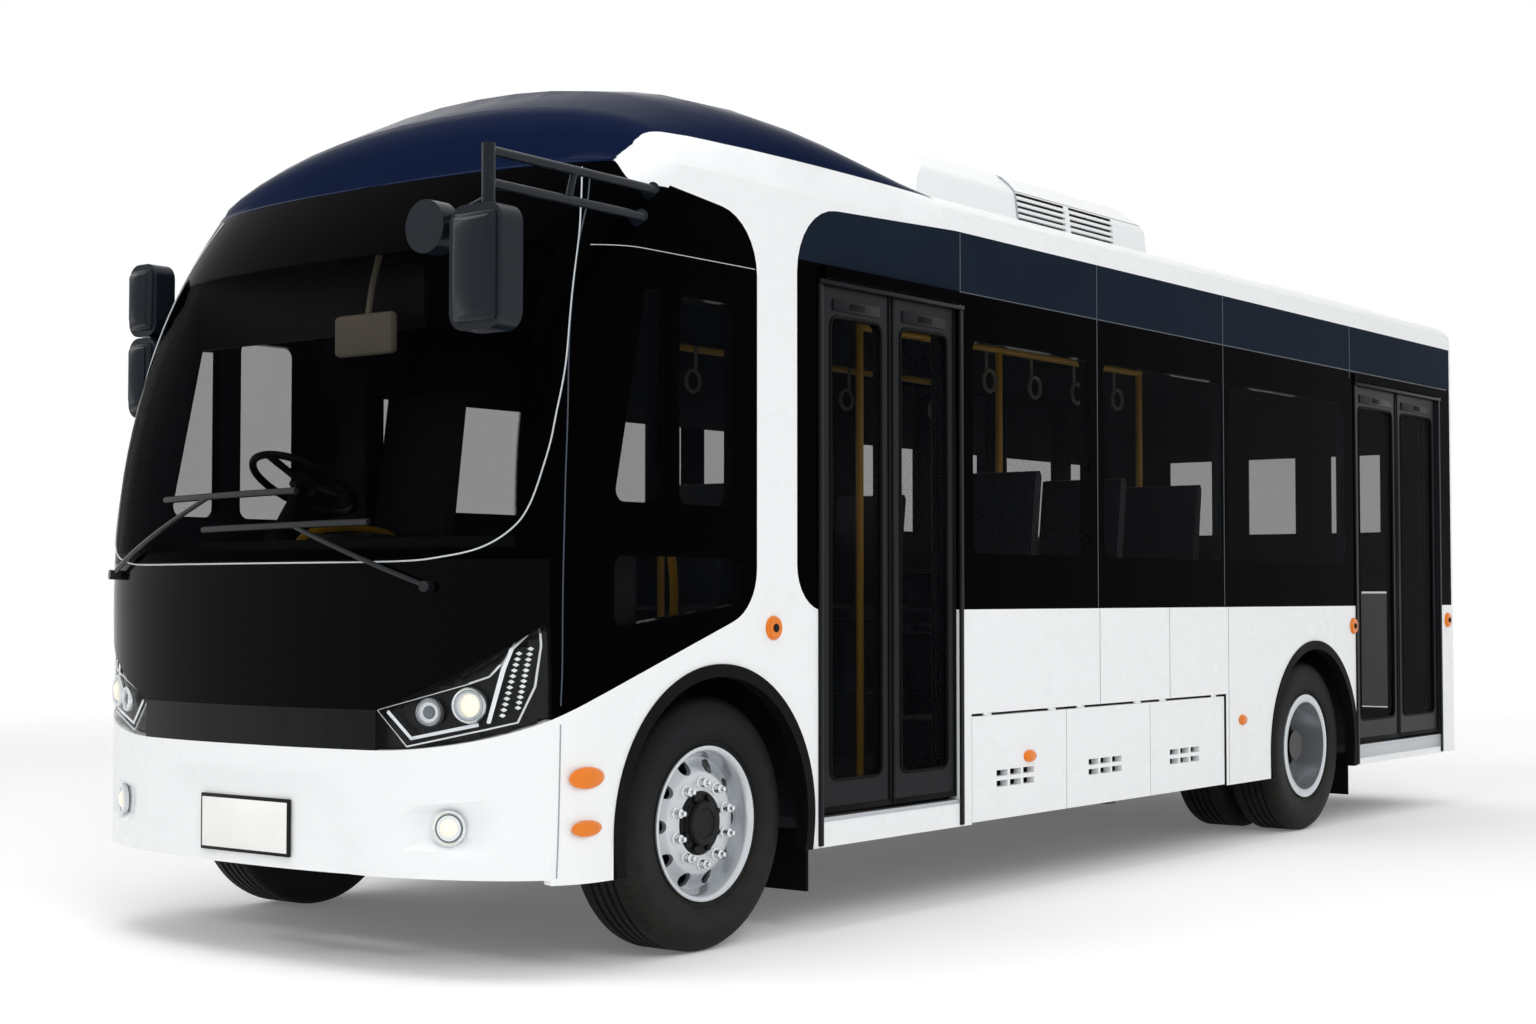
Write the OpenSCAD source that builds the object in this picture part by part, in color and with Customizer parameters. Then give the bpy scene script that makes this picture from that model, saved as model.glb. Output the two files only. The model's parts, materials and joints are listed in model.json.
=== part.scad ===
// Airport passenger bus: low floor, two inward-swinging double doors, front faces -Y, doors on +X.
// Millimetres. The origin is on the ground under the middle of the whole vehicle.

/* [Overall] */
// Width over the side walls
body_w = 2370; // [2250:5:2550]
// Distance between the two axles
wheelbase = 5080; // [4900:10:5500]
// Front axle to the nose
front_overhang = 1128; // [1120:2:1200]
// Rear axle to the tail
rear_overhang = 2168; // [2100:2:2400]
// Thickness of walls, panels and roof
wall_t = 50; // [40:1:60]

/* [Heights] */
// Lower edge of the skirts
skirt_z = 312; // [290:1:330]
// Top of the cabin floor
floor_z = 420; // [400:1:440]
// Line where the white side meets the black window band
belt_z = 1190; // [1120:1:1240]
// Line where the sides meet the roof
cantrail_z = 2736; // [2600:1:2850]
// Door openings below the cantrail
door_drop = 306; // [280:1:340]
// Rise of the roof above the cantrail
roof_rise = 200; // [170:1:240]
// Rise of the front roof dome above the cantrail
dome_rise = 450; // [410:1:480]

/* [Front] */
// Depth of the rounded nose in plan at the bumper
nose_depth = 520; // [460:2:522]
// Depth of the rounded nose in plan at the cantrail
brow_depth = 340; // [320:2:380]
// Exponent of the nose curve in plan
nose_power = 2.25; // [2:0.05:2.6]
// Lower edge of the windscreen above the corner of the bumper
screen_rise = 520; // [480:1:560]
// Thickness of all glass
glass_t = 10; // [6:1:14]

/* [Wheels] */
// Outer diameter of the tyres
tyre_od = 895; // [860:1:920]
// Widest section of one tyre
tyre_w = 270; // [250:1:285]
// Outer face of the tyres inside the body side
tyre_recess = 49; // [40:1:60]
// Distance between twin tyres
twin_pitch = 316; // [300:1:330]
// Free space between tyre and wheel arch
arch_room = 112.5; // [100:0.5:118]
// Kingpin inside the middle of the tyre
kingpin_in = 201; // [190:1:210]
// Length of the steering arms
steer_arm = 200; // [180:1:220]
// Radius of the towing eyes
tow_r = 20; // [15:1:25]

/* [Doors] */
// Width of the front door opening
door1_w = 948; // [880:1:980]
// Rear door opening to the tail
door2_rear = 350; // [300:1:400]
// Thickness of a door leaf
leaf_t = 40; // [30:1:45]
// Running gap around doors and flaps
gap = 8; // [6:0.5:10]

/* [Flaps] */
// Last flap to the rear axle
flap_rear = 1080; // [1000:1:1200]
// Top of the side flaps
flap_top_z = 750; // [720:1:780]

/* [Roof units] */
// Length of the cooling unit
ac_len = 2100; // [1900:5:2300]
// Half width of the cooling unit
ac_half = 850; // [750:5:900]
// Height of the cooling unit
ac_h = 255; // [200:1:280]

/* [Mirrors] */
// How far both mirrors stand out past the sides
mirror_out = 200; // [170:1:240]
// How far the door-side mirror stands ahead of the front axle
mirror_ahead = 1300; // [1260:1:1340]

/* [Hidden] */
$fn = 64;

// Stations along the bus are measured from the front axle and placed with fa
half_w = body_w / 2;
inner_x = half_w - wall_t;
tail = wheelbase + rear_overhang;
tail_lamp_t = 12;
fa = -(tail + tail_lamp_t - mirror_ahead) / 2;
tyre_r = tyre_od / 2;
half_t = tyre_w / 2;
wheel_z = tyre_r;
wheel_x = half_w - tyre_recess - half_t;
kingpin_x = wheel_x - kingpin_in;
arch_r = tyre_r + arch_room;
fit = 0.3;
corner_r = 148;
side_end = tail - corner_r;
dome_end = 1450;
door_top_z = cantrail_z - door_drop;

// Wheel boxes
box_t = 30;
steer_room = 158;
box_half_front = tyre_r + steer_room;
box_half_rear = arch_r + 5;
box_top = tyre_od + 135;
box_in_front = kingpin_x - 280;
box_in_rear = wheel_x - twin_pitch - half_t - 205;

// Doors and flaps
door1_gap = 6.5;
door2_gap = 13;
door1_at = box_half_front + door1_gap;
door1_end = door1_at + door1_w;
door2_at_s = wheelbase + box_half_rear + door2_gap;
door2_end = tail - door2_rear;
door2_w = door2_end - door2_at_s;
leaf_x = half_w - leaf_t - 12;
post_x = leaf_x - 38;
post_r = 18;
post_in = 34;
leaf_low_z = floor_z + 15;
flap_at = door1_end + 100;
flap_end = wheelbase - flap_rear;
flap_w = (flap_end - flap_at) / 3;
flap_low_z = skirt_z + 6;
hinge_r = 5;
hinge_x = half_w - 6;
flap_t = 36;

// Chassis
rail_x = wheel_x - twin_pitch - half_t - 250;
rail_w = 70;
rail_h = 80;
floor_t = 40;
rail_top = floor_z - floor_t;
rail_low = rail_top - rail_h;
axle_drop = 95;

// Pillars of the sides
pillar_a = 214;
pillar_b = 455;
white = "#eef0f1";
black = "#15171a";
navy = "#141d33";
steel = "#8d9196";
rubber = "#1d1e20";
dark = "#17181a";
glass = "#33404a";

// Shape of the nose
lean_from_z = 1000;
lean = 150;
lean_power = 2.4;
function above_lean(z) = max(0, z - lean_from_z);
function nose_s(z) = -front_overhang + lean * pow(above_lean(z) / 1000, lean_power);
function depth_at(z) = nose_depth - (nose_depth - brow_depth) * above_lean(z) / above_lean(cantrail_z);
function edge_s(z) = nose_s(z) + depth_at(z);
function sgn(a) = a < 0 ? -1 : 1;
function plan_x(a) = sgn(a) * pow(sin(abs(a)), 2 / nose_power);
function plan_s(a) = 1 - pow(cos(a), 2 / nose_power);
function angle_at(x) = sgn(x) * asin(pow(abs(x) / half_w, nose_power / 2));
function skin(a, z, depth) = [
  (half_w - depth) * plan_x(a),
  fa + nose_s(z) + depth + (depth_at(z) - depth) * plan_s(a),
  z
];
function unit(v) = v / norm(v);
function outward(a, z) =
  unit(cross(skin(a + 1, z, 0) - skin(a - 1, z, 0), skin(a, z + 20, 0) - skin(a, z - 20, 0)));

// Closed triangle mesh between an outer and an inner grid of points
function flat(rows) = [for (r = rows) for (p = r) p];
function two(a, b, c, d) = [[a, b, c], [a, c, d]];
module shell(outer, inner) {
  n = len(outer) - 1;
  m = len(outer[0]) - 1;
  k = (n + 1) * (m + 1);
  w = m + 1;
  front = [for (i = [0:n - 1]) for (j = [0:m - 1])
    for (t = two(i * w + j, (i + 1) * w + j, (i + 1) * w + j + 1, i * w + j + 1)) t];
  back = [for (t = front) [t[2] + k, t[1] + k, t[0] + k]];
  low = [for (j = [0:m - 1]) for (t = two(j, j + 1, k + j + 1, k + j)) t];
  high = [for (j = [0:m - 1])
    for (t = two(n * w + j, k + n * w + j, k + n * w + j + 1, n * w + j + 1)) t];
  left = [for (i = [0:n - 1])
    for (t = two(i * w, k + i * w, k + (i + 1) * w, (i + 1) * w)) t];
  right = [for (i = [0:n - 1])
    for (t = two(i * w + m, (i + 1) * w + m, k + (i + 1) * w + m, k + i * w + m)) t];
  polyhedron(concat(flat(outer), flat(inner)), concat(front, back, low, high, left, right));
}

// Piece of the nose between two angles, with lower and upper edges given per angle
module nose_piece(angles, lows, highs, rows, depth) {
  function at(i, j, d) = skin(angles[j], lows[j] + (highs[j] - lows[j]) * i / rows, d);
  cols = len(angles) - 1;
  shell(
    [for (i = [0:rows]) [for (j = [0:cols]) at(i, j, 0)]],
    [for (i = [0:rows]) [for (j = [0:cols]) at(i, j, depth)]]
  );
}

// Edges that the front pieces share
function steps(a, b, n) = [for (i = [0:n]) a + (b - a) * i / n];
function rest(v) = [for (i = [1:len(v) - 1]) v[i]];
function flipped(v) = [for (i = [len(v) - 1:-1:0]) -v[i]];
seam_in = 57;
seam_a = angle_at(half_w - seam_in);
lamp_x = 0.506 * half_w;
lamp_a = angle_at(lamp_x);
side_angles = steps(lamp_a, seam_a, 14);
mid_angles = steps(-lamp_a, lamp_a, 18);
front_angles = concat(flipped(rest(side_angles)), mid_angles, rest(side_angles));
screen_angles = concat(flipped(rest(steps(lamp_a, seam_a, 7))), steps(-lamp_a, lamp_a, 10),
  rest(steps(lamp_a, seam_a, 7)));
corner_angles = steps(seam_a, 90, 6);
quarter_z = belt_z - 265;
bumper_low_z = skirt_z + 18;
bumper_corner_z = quarter_z - 80;
bumper_top_z = bumper_corner_z - 105;
grille_top_z = bumper_corner_z + 27;
lamp_top_z = bumper_corner_z + 320;
screen_low_z = bumper_corner_z + screen_rise;
lamp_min_h = 40;
function side_share(a) = max(0, (abs(a) - lamp_a) / (seam_a - lamp_a));
function bumper_top(a) = bumper_top_z + (bumper_corner_z - bumper_top_z) * pow(side_share(a), 1.6);
function lamp_top(a) =
  max(grille_top_z + (lamp_top_z - grille_top_z) * side_share(a), bumper_top(a) + lamp_min_h);

// Rows of the corner pillars meet the rows of the lamps, the mask and the windscreen at the seam
lamp_rows = 5;
mask_rows = 3;
screen_rows = 16;
seam_z = concat(steps(bumper_corner_z, lamp_top_z, lamp_rows), rest(steps(lamp_top_z, screen_low_z, mask_rows)),
  rest(steps(screen_low_z, cantrail_z, screen_rows)));
function corner_low(a) = bumper_corner_z + (quarter_z - bumper_corner_z) * (a - seam_a) / (90 - seam_a);
function corner_z(i, a) = seam_z[i] +
  (corner_low(a) - bumper_corner_z) * (cantrail_z - seam_z[i]) / (cantrail_z - bumper_corner_z);
edge_z = [for (i = [0:len(seam_z) - 1]) corner_z(i, 90)];

module mirrored() {
  children();
  mirror([1, 0, 0]) children();
}

// Flat wall in the plane of the sides, drawn in station and height
module wall(x0, t) {
  translate([x0, fa, 0]) rotate([90, 0, 90]) linear_extrude(t) children();
}

module block(x0, x1, s0, s1, z0, z1) {
  translate([x0, fa + s0, z0]) cube([x1 - x0, s1 - s0, z1 - z0]);
}

module rod(p, q, r) {
  d = q - p;
  translate(p) rotate([0, acos(d[2] / norm(d)), atan2(d[1], d[0])]) cylinder(h = norm(d), r = r);
}

module rounded(w, h, r) {
  square([w - 2 * r, h], center = true);
  square([w, h - 2 * r], center = true);
  for (x = [-1, 1], z = [-1, 1]) translate([x * (w / 2 - r), z * (h / 2 - r)]) circle(r);
}

module arch(s) {
  translate([s, wheel_z]) circle(arch_r);
  translate([s - arch_r, 0]) square([2 * arch_r, wheel_z]);
}

// Outline with rounded corners, from points of station, height and corner radius
arc_n = 8;
function rounding(p, q, c, r) = let (u = unit(p - q), v = unit(c - q), h = acos(u * v) / 2,
  m = q + unit(u + v) * r / sin(h), e = q + u * r / tan(h) - m, f = q + v * r / tan(h) - m)
  [for (i = [0:arc_n]) m + r * unit(e * sin(90 * (1 - i / arc_n)) + f * sin(90 * i / arc_n))];
function spot(p) = [p[0], p[1]];
function softened(v) = [for (i = [0:len(v) - 1])
  let (n = len(v), p = v[(i + n - 1) % n], q = v[i], c = v[(i + 1) % n])
  for (e = q[2] == 0 ? [spot(q)] : rounding(spot(p), spot(q), spot(c), q[2])) e];

// Sides: the black quarter and window band lie in the white side
fin_knot = len(edge_z) - 2;
quarter_corner_z = belt_z + 10;
fin_z = cantrail_z - 136;
band_top_z = cantrail_z - 46;
band_full_s = 1540;
seam_fit = 0.1;
function front_edge(i0, i1) = [for (i = [i0:sgn(i1 - i0):i1]) [edge_s(edge_z[i]) + seam_fit, edge_z[i]]];

module quarter_outline() {
  polygon(softened(concat(
    [[pillar_a, quarter_corner_z, 200], [pillar_a, fin_z, 230]],
    [for (p = front_edge(fin_knot, 0)) [p[0], p[1], 0]])));
}

module band_outline() {
  polygon(softened([[pillar_b, belt_z, 170], [pillar_b, band_top_z, 260], [band_full_s, cantrail_z, 0],
    [side_end, cantrail_z, 0], [side_end, belt_z, 0]]));
}

module white_side() difference() {
  polygon(concat([[edge_s(0) + seam_fit, skirt_z]], front_edge(0, len(edge_z) - 1),
    [[side_end, cantrail_z], [side_end, skirt_z]]));
  quarter_outline();
  band_outline();
  arch(0);
  arch(wheelbase);
}

module door_cut(s, w) {
  translate([s, floor_z]) square([w, door_top_z - floor_z]);
}

module flap_cut() {
  translate([flap_at - gap, 0]) square([3 * flap_w + 2 * gap, flap_top_z + 2 * (hinge_r + 1)]);
}

// Windows as start and end stations
pane_low_z = belt_z + 230;
pane_high_z = cantrail_z - 436;
pane_r = 40;
between = door2_at_s - door1_end;
post_1 = door1_end + 0.283 * between;
post_2 = door1_end + 0.598 * between;
panes_left = [[door1_end + 110, post_1 - 70], [post_1 + 60, post_2 - 40], [post_2 + 40, door2_at_s - 158]];
panes_right = concat([[pillar_b + 105, door1_end - 40]], panes_left, [[door2_at_s - 50, side_end - 200]]);
quarter_frame = 66;
quarter_z0 = pane_low_z + 140;
quarter_z1 = pane_high_z - 20;
quarter_post = [-326, -222];
quarter_back = [85, 143];

module pane(p, z0, z1, r) {
  translate([(p[0] + p[1]) / 2, (z0 + z1) / 2]) rounded(p[1] - p[0], z1 - z0, r);
}

module panes(list) {
  for (p = list) pane(p, pane_low_z, pane_high_z, pane_r);
}

module quarter_panes() {
  polygon(softened([[edge_s(quarter_z0) + quarter_frame, quarter_z0, pane_r],
    [quarter_post[0], quarter_z0, pane_r], [quarter_post[0], quarter_z1, pane_r / 2],
    [edge_s(quarter_z1) + quarter_frame, quarter_z1, pane_r / 2]]));
  pane([quarter_post[1], quarter_back[0]], quarter_z0, quarter_z1, pane_r);
  low_s = edge_s(belt_z) + quarter_frame;
  polygon(softened([[low_s, belt_z - 50, pane_r], [quarter_back[1], belt_z + 30, pane_r],
    [quarter_back[1], belt_z + 190, pane_r], [low_s, belt_z + 190, pane_r]]));
}

module hinge_barrels(offset_s, low) {
  for (i = [0:2], e = [0.12, 0.8])
    translate([hinge_x, fa + flap_at + (i + e) * flap_w + offset_s, flap_top_z + hinge_r + 1]) {
      rotate([-90, 0, 0]) cylinder(h = 28, r = hinge_r);
      translate([-hinge_r, 0, low ? -hinge_r - 2 : 0]) cube([2 * hinge_r, 28, hinge_r + 2]);
    }
}

module side_left() color(white) {
  wall(inner_x, wall_t) difference() {
    white_side();
    door_cut(door1_at, door1_w);
    door_cut(door2_at_s, door2_w);
    flap_cut();
  }
  hinge_barrels(0, false);
}

module side_right() color(white) mirror([1, 0, 0]) wall(inner_x, wall_t) white_side();

module quarter_wall() wall(inner_x, wall_t) difference() {
  quarter_outline();
  quarter_panes();
}

// A drip rail runs over each door
drip_h = 45;
drip_out = 22;

module window_frame_left() color(black) {
  wall(inner_x, wall_t) difference() {
    band_outline();
    door_cut(door1_at, door1_w);
    door_cut(door2_at_s, door2_w);
    panes(panes_left);
  }
  for (d = [[door1_at, door1_end], [door2_at_s, door2_end]])
    block(half_w - 1, half_w + drip_out, d[0], d[1], door_top_z + 6, door_top_z + 6 + drip_h);
  quarter_wall();
}

module window_frame_right() color(black) mirror([1, 0, 0]) {
  wall(inner_x, wall_t) difference() {
    band_outline();
    panes(panes_right);
  }
  quarter_wall();
}

module window_glass() color(glass) {
  wall(half_w - glass_t, glass_t) {
    panes(panes_left);
    quarter_panes();
  }
  mirror([1, 0, 0]) wall(half_w - glass_t, glass_t) {
    panes(panes_right);
    quarter_panes();
  }
  block(-rear_pane_half, rear_pane_half, tail - glass_t - 4, tail - 4, rear_pane_low_z, rear_pane_high_z);
}

// Roof sections: a flattened arch of half width w and rise h over the cantrail
roof_cols = 20;
dome_power = 2.1;
roof_flat = 4;
function roof_power(s) = s < 0 ? dome_power : s > dome_end ? roof_flat :
  dome_power + (roof_flat - dome_power) * s / dome_end;
function arch_x(j, m) = -sgn(cos(180 * j / roof_cols)) * pow(abs(cos(180 * j / roof_cols)), 2 / m);
function arch_z(j, m) = pow(abs(sin(180 * j / roof_cols)), 2 / m);
function roof_row(s, w, h, m) = [for (j = [0:roof_cols])
  [w * arch_x(j, m), fa + s, cantrail_z + h * (j == 0 || j == roof_cols ? 0 : arch_z(j, m))]];
brow_h = 50;
brow_s = 180;
dome_top_s = 150;
crown = 1.8;
dome_nose = nose_s(cantrail_z);
function dome_h(s) =
  s < dome_nose + brow_s ? 3 + brow_h * pow(max(0, s - dome_nose) / brow_s, 0.8) :
  s < dome_top_s ? 3 + brow_h + (dome_rise - brow_h - 3) *
    pow(1 - pow(1 - (s - dome_nose - brow_s) / (dome_top_s - dome_nose - brow_s), crown), 1 / crown) :
  roof_rise + (dome_rise - roof_rise) * pow(cos(90 * (s - dome_top_s) / (dome_end - dome_top_s)), 1.3);
dome_angles = concat([2, 6], steps(12, 90, 13));
dome_back = steps(edge_s(cantrail_z), dome_end, 8);

module roof_dome() color(navy) {
  outer = concat(
    [for (a = dome_angles) let (s = dome_nose + brow_depth * plan_s(a))
      roof_row(s, half_w * plan_x(a), dome_h(s), roof_power(s))],
    [for (i = [1:8]) roof_row(dome_back[i], half_w, dome_h(dome_back[i]), roof_power(dome_back[i]))]);
  inner = concat(
    [for (a = dome_angles) let (s = dome_nose + wall_t + (brow_depth - wall_t) * plan_s(a))
      roof_row(s, inner_x * plan_x(a), max(2, dome_h(s - wall_t) - wall_t), roof_power(s))],
    [for (i = [1:8])
      roof_row(dome_back[i], inner_x, dome_h(dome_back[i]) - wall_t, roof_power(dome_back[i]))]);
  shell(outer, inner);
}

function tail_h(c) = roof_rise * pow(c, 0.55);
tail_angles = [0, 15, 30, 45, 60, 75, 87, 90];

function tail_row(a, d) = roof_row(side_end + (corner_r - d) * sin(a),
  half_w - corner_r + (corner_r - d) * cos(a), max(2, tail_h(cos(a)) - d), roof_flat);

module roof_shell() color(white) {
  translate([0, fa + side_end, 0]) rotate([90, 0, 0]) linear_extrude(side_end - dome_end) polygon(concat(
    [for (p = roof_row(0, half_w, roof_rise, roof_flat)) [p[0], p[2]]],
    [for (j = [roof_cols:-1:0]) let (p = roof_row(0, inner_x, roof_rise - wall_t, roof_flat)[j])
      [p[0], p[2]]]));
  shell([for (a = tail_angles) tail_row(a, 0)], [for (a = tail_angles) tail_row(a, wall_t)]);
}

// Tail
hatch_half = 800;
hatch_low_z = belt_z - 630;
hatch_top_z = belt_z + 70;
rear_pane_half = half_w - 255;
rear_pane_low_z = pane_low_z + 60;
rear_pane_high_z = pane_high_z + 120;

module tail_plan(d) {
  translate([-half_w + corner_r, side_end - 200]) square([body_w - 2 * corner_r, corner_r - d + 200]);
  for (x = [-1, 1]) translate([x * (half_w - corner_r), side_end]) circle(corner_r - d);
  translate([-half_w + d, side_end - 200]) square([body_w - 2 * d, 200]);
}

module tail_wall() translate([0, fa, 0]) difference() {
  translate([0, 0, skirt_z]) linear_extrude(cantrail_z - skirt_z) intersection() {
    difference() {
      tail_plan(0);
      tail_plan(wall_t);
    }
    translate([-half_w, side_end]) square([body_w, 2 * corner_r]);
  }
  translate([-hatch_half - gap, tail - 100, hatch_low_z - gap])
    cube([2 * (hatch_half + gap), 200, hatch_top_z - hatch_low_z + gap + 2 * (hinge_r + 1)]);
  translate([-rear_pane_half, tail - 100, rear_pane_low_z])
    cube([2 * rear_pane_half, 200, rear_pane_high_z - rear_pane_low_z]);
}

hatch_s = tail - 6;
hatch_hinges = [-520, 480];
barrel = 40;

module hatch_barrels(shift, low) {
  for (x = hatch_hinges) translate([x + shift, fa + hatch_s, hatch_top_z + hinge_r + 1]) {
    rotate([0, 90, 0]) cylinder(h = barrel, r = hinge_r);
    translate([0, -hinge_r, low ? -hinge_r - 2 : 0]) cube([barrel, hinge_r, hinge_r + 2]);
  }
}

module rear_panel() color(white) {
  tail_wall();
  hatch_barrels(0, false);
}

// Nose pieces
function same(angles, z) = [for (a = angles) z];
function smooth(v) = let (k = min(1, max(0, v))) k * k * (3 - 2 * k);

// Form of the bumper: a set-back middle around the number plate and a pocket for each fog lamp
soft = 45;
dip = 16;
dip_top_z = bumper_top_z - 90;
dip_half = 0.34 * half_w;
fog = [0.716 * half_w, bumper_low_z + 165];
pocket = [165, 78];
pocket_d = 30;
function dip_at(x, z) =
  dip * smooth((dip_half + 0.5 * (dip_top_z - z) - abs(x)) / soft) * smooth((dip_top_z - z) / soft);
function pocket_at(x, z) = let (u = (abs(x) - fog[0]) / pocket[0], v = (z - fog[1]) / pocket[1])
  pocket_d * smooth((1 - pow(pow(u, 4) + pow(v, 4), 0.25)) / 0.35);
function bumper_depth(x, z) = dip_at(x, z) + pocket_at(x, z);

bumper_rows = 14;
function bumper_z(i, a) = bumper_low_z + (bumper_top(a) - bumper_low_z) * i / bumper_rows;

module front_bumper() color(white) shell(
  [for (i = [0:bumper_rows]) [for (a = front_angles) let (z = bumper_z(i, a))
    skin(a, z, bumper_depth(half_w * plan_x(a), z))]],
  [for (i = [0:bumper_rows]) [for (a = front_angles) skin(a, bumper_z(i, a), wall_t)]]
);

module front_corners() color(white) mirrored()
  nose_piece(corner_angles, same(corner_angles, skirt_z), [for (a = corner_angles) corner_low(a)], 4, wall_t);

module grille_panel() color("#202225")
  nose_piece(mid_angles, [for (a = mid_angles) bumper_top(a)], same(mid_angles, grille_top_z), 2, wall_t);

module headlamps() color("#dfe6ea") for (v = [side_angles, flipped(side_angles)])
  nose_piece(v, [for (a = v) bumper_top(a)], [for (a = v) lamp_top(a)], lamp_rows, wall_t);

module front_mask() color(black)
  nose_piece(front_angles, [for (a = front_angles) lamp_top(a)], same(front_angles, screen_low_z),
    mask_rows, wall_t);

module windscreen() color("#2a343c")
  nose_piece(screen_angles, same(screen_angles, screen_low_z), same(screen_angles, cantrail_z),
    screen_rows, glass_t);

module corner_pillars() color(black) mirrored() shell(
  [for (i = [0:len(seam_z) - 1]) [for (a = corner_angles) skin(a, corner_z(i, a), 0)]],
  [for (i = [0:len(seam_z) - 1]) [for (a = corner_angles) skin(a, corner_z(i, a), wall_t)]]
);

// Structure below the floor
rail_front_s = -760;
rail_end_s = tail - 180;
cross_w = 70;
cross_s = [rail_front_s, 900, 0.4724 * wheelbase, wheelbase - 1180, wheelbase + 820, rail_end_s - cross_w];
tow_eye_r = 60;
tow_s = [rail_front_s - tow_eye_r, rail_end_s - cross_w - tow_eye_r];
outrigger_w = 60;
outrigger_s = [door1_at + 688, 0.571 * wheelbase, wheelbase - 780];
jack_s = [1000, wheelbase - 980];
jack_half = 50;
jack_h = 15;

module chassis_rails() color("#3a3d41") mirrored()
  block(rail_x - rail_w / 2, rail_x + rail_w / 2, rail_front_s, rail_end_s, rail_low, rail_top);

module cross_members() color("#3a3d41") for (s = cross_s)
  block(-rail_x + rail_w / 2, rail_x - rail_w / 2, s, s + cross_w, rail_low, rail_top);

module rail_brackets() color("#3a3d41") mirrored() {
  for (s = outrigger_s) block(rail_x + rail_w / 2, inner_x, s, s + outrigger_w, rail_low, rail_top);
  for (s = jack_s)
    block(rail_x - jack_half, rail_x + jack_half, s - jack_half, s + jack_half, rail_low - jack_h, rail_low);
}

module tow_eyes() color("#3a3d41") for (s = tow_s) difference() {
  union() {
    translate([0, fa + s, rail_low]) cylinder(h = rail_h, r = tow_eye_r);
    block(-tow_eye_r, tow_eye_r, s, s + tow_eye_r, rail_low, rail_top);
  }
  translate([0, fa + s, rail_low - 1]) cylinder(h = rail_h + 2, r = tow_r);
}

// Wheel wells as station, inner edge and half length
wells = [[0, box_in_front, box_half_front], [wheelbase, box_in_rear, box_half_rear]];

module well_cuts() {
  for (a = wells, m = [0, 1]) mirror([m, 0])
    translate([a[1] + box_t, a[0] - a[2] + box_t]) square([inner_x - a[1] - box_t + 1, 2 * (a[2] - box_t)]);
}

module floor_pan() color("#4a4d51") translate([0, fa, rail_top]) linear_extrude(floor_t) difference() {
  translate([-inner_x, edge_s(0)]) square([2 * inner_x, side_end - edge_s(0)]);
  well_cuts();
}

module wheel_boxes() color("#5b5f64") mirrored()
  for (a = wells) difference() {
    block(a[1], inner_x, a[0] - a[2], a[0] + a[2], floor_z, box_top);
    block(a[1] + box_t, inner_x + 1, a[0] - a[2] + box_t, a[0] + a[2] - box_t, floor_z - 1, box_top - box_t);
  }

// Axles
beam_half = 60;
post_far = 142;
post_near = 74;
post_half = 40;
pin_r = 30;
eye_r = 55;
eye_low = wheel_z - 60;
eye_high = wheel_z + 60;

module front_axle() color(steel) difference() {
  union() {
    block(post_near - kingpin_x, kingpin_x - post_near, -beam_half, beam_half, rail_low - axle_drop, rail_low);
    mirrored() {
      block(kingpin_x - post_far, kingpin_x - post_near, -post_half, post_half, rail_low - axle_drop, eye_high);
      translate([kingpin_x, fa, eye_low]) cylinder(h = eye_high - eye_low, r = eye_r);
      block(kingpin_x - post_near - 2, kingpin_x, -post_half, post_half, eye_low, eye_high);
    }
  }
  mirrored() translate([kingpin_x, fa, eye_low - 1]) cylinder(h = eye_high - eye_low + 2, r = pin_r + fit);
}

stub_r = 45;
portal_x = wheel_x - 531;

module rear_axle() color(steel) translate([0, fa + wheelbase, 0]) {
  translate([-portal_x, -90, rail_low - axle_drop]) cube([2 * portal_x, 180, axle_drop]);
  mirrored() {
    translate([portal_x - 60, -100, rail_low - axle_drop]) cube([80, 200, 340]);
    translate([portal_x, 0, wheel_z]) rotate([0, 90, 0]) cylinder(h = wheel_x - 60 - portal_x, r = stub_r);
  }
}

motor_half = rail_x - rail_w / 2 - 25;

module traction_motor() color("#6f7378")
  block(-motor_half, motor_half, wheelbase + 300, wheelbase + 790, rail_low - 60, rail_top);

pack_top_z = flap_top_z - 20;
pack_in = inner_x - 445;

module battery_packs() color("#54585d") mirrored()
  block(pack_in, inner_x - 60, flap_at + 30, flap_end - 30, floor_z, pack_top_z);

// Steered knuckle, drawn for the door side
arm_z = rail_low - 45;
rod_r = 18;
rod_eye_r = 32;
tie_pin_r = 12;

module knuckle() color(steel) translate([kingpin_x, fa, 0]) {
  translate([0, 0, eye_low - 40]) cylinder(h = eye_high - eye_low + 80, r = pin_r);
  for (z = [eye_low - 45, eye_high + 5]) translate([0, 0, z]) cylinder(h = 40, r = eye_r);
  translate([62, -55, eye_low - 45]) cube([34, 110, eye_high - eye_low + 90]);
  for (z = [eye_low - 45, eye_high + 5]) translate([0, -45, z]) cube([64, 90, 40]);
  translate([90, 0, wheel_z]) rotate([0, 90, 0]) cylinder(h = wheel_x + 60 - kingpin_x - 90, r = stub_r);
  translate([-25, 20, eye_low - 45]) cube([50, steer_arm - 20, 30]);
  translate([0, steer_arm, arm_z + 25]) cylinder(h = eye_low - 45 - arm_z - 25 + 30, r = rod_eye_r);
  translate([0, steer_arm, arm_z - 20]) cylinder(h = 60, r = tie_pin_r);
}

module knuckle_left() knuckle();
module knuckle_right() mirror([1, 0, 0]) knuckle();

module tie_rod() color("#4b4e52") translate([0, fa + steer_arm, arm_z]) difference() {
  union() {
    translate([-kingpin_x, 0, 0]) rotate([0, 90, 0]) cylinder(h = 2 * kingpin_x, r = rod_r);
    mirrored() translate([kingpin_x, 0, -22]) cylinder(h = 44, r = rod_eye_r);
  }
  mirrored() translate([kingpin_x, 0, -30]) cylinder(h = 60, r = tie_pin_r + fit);
}

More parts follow.
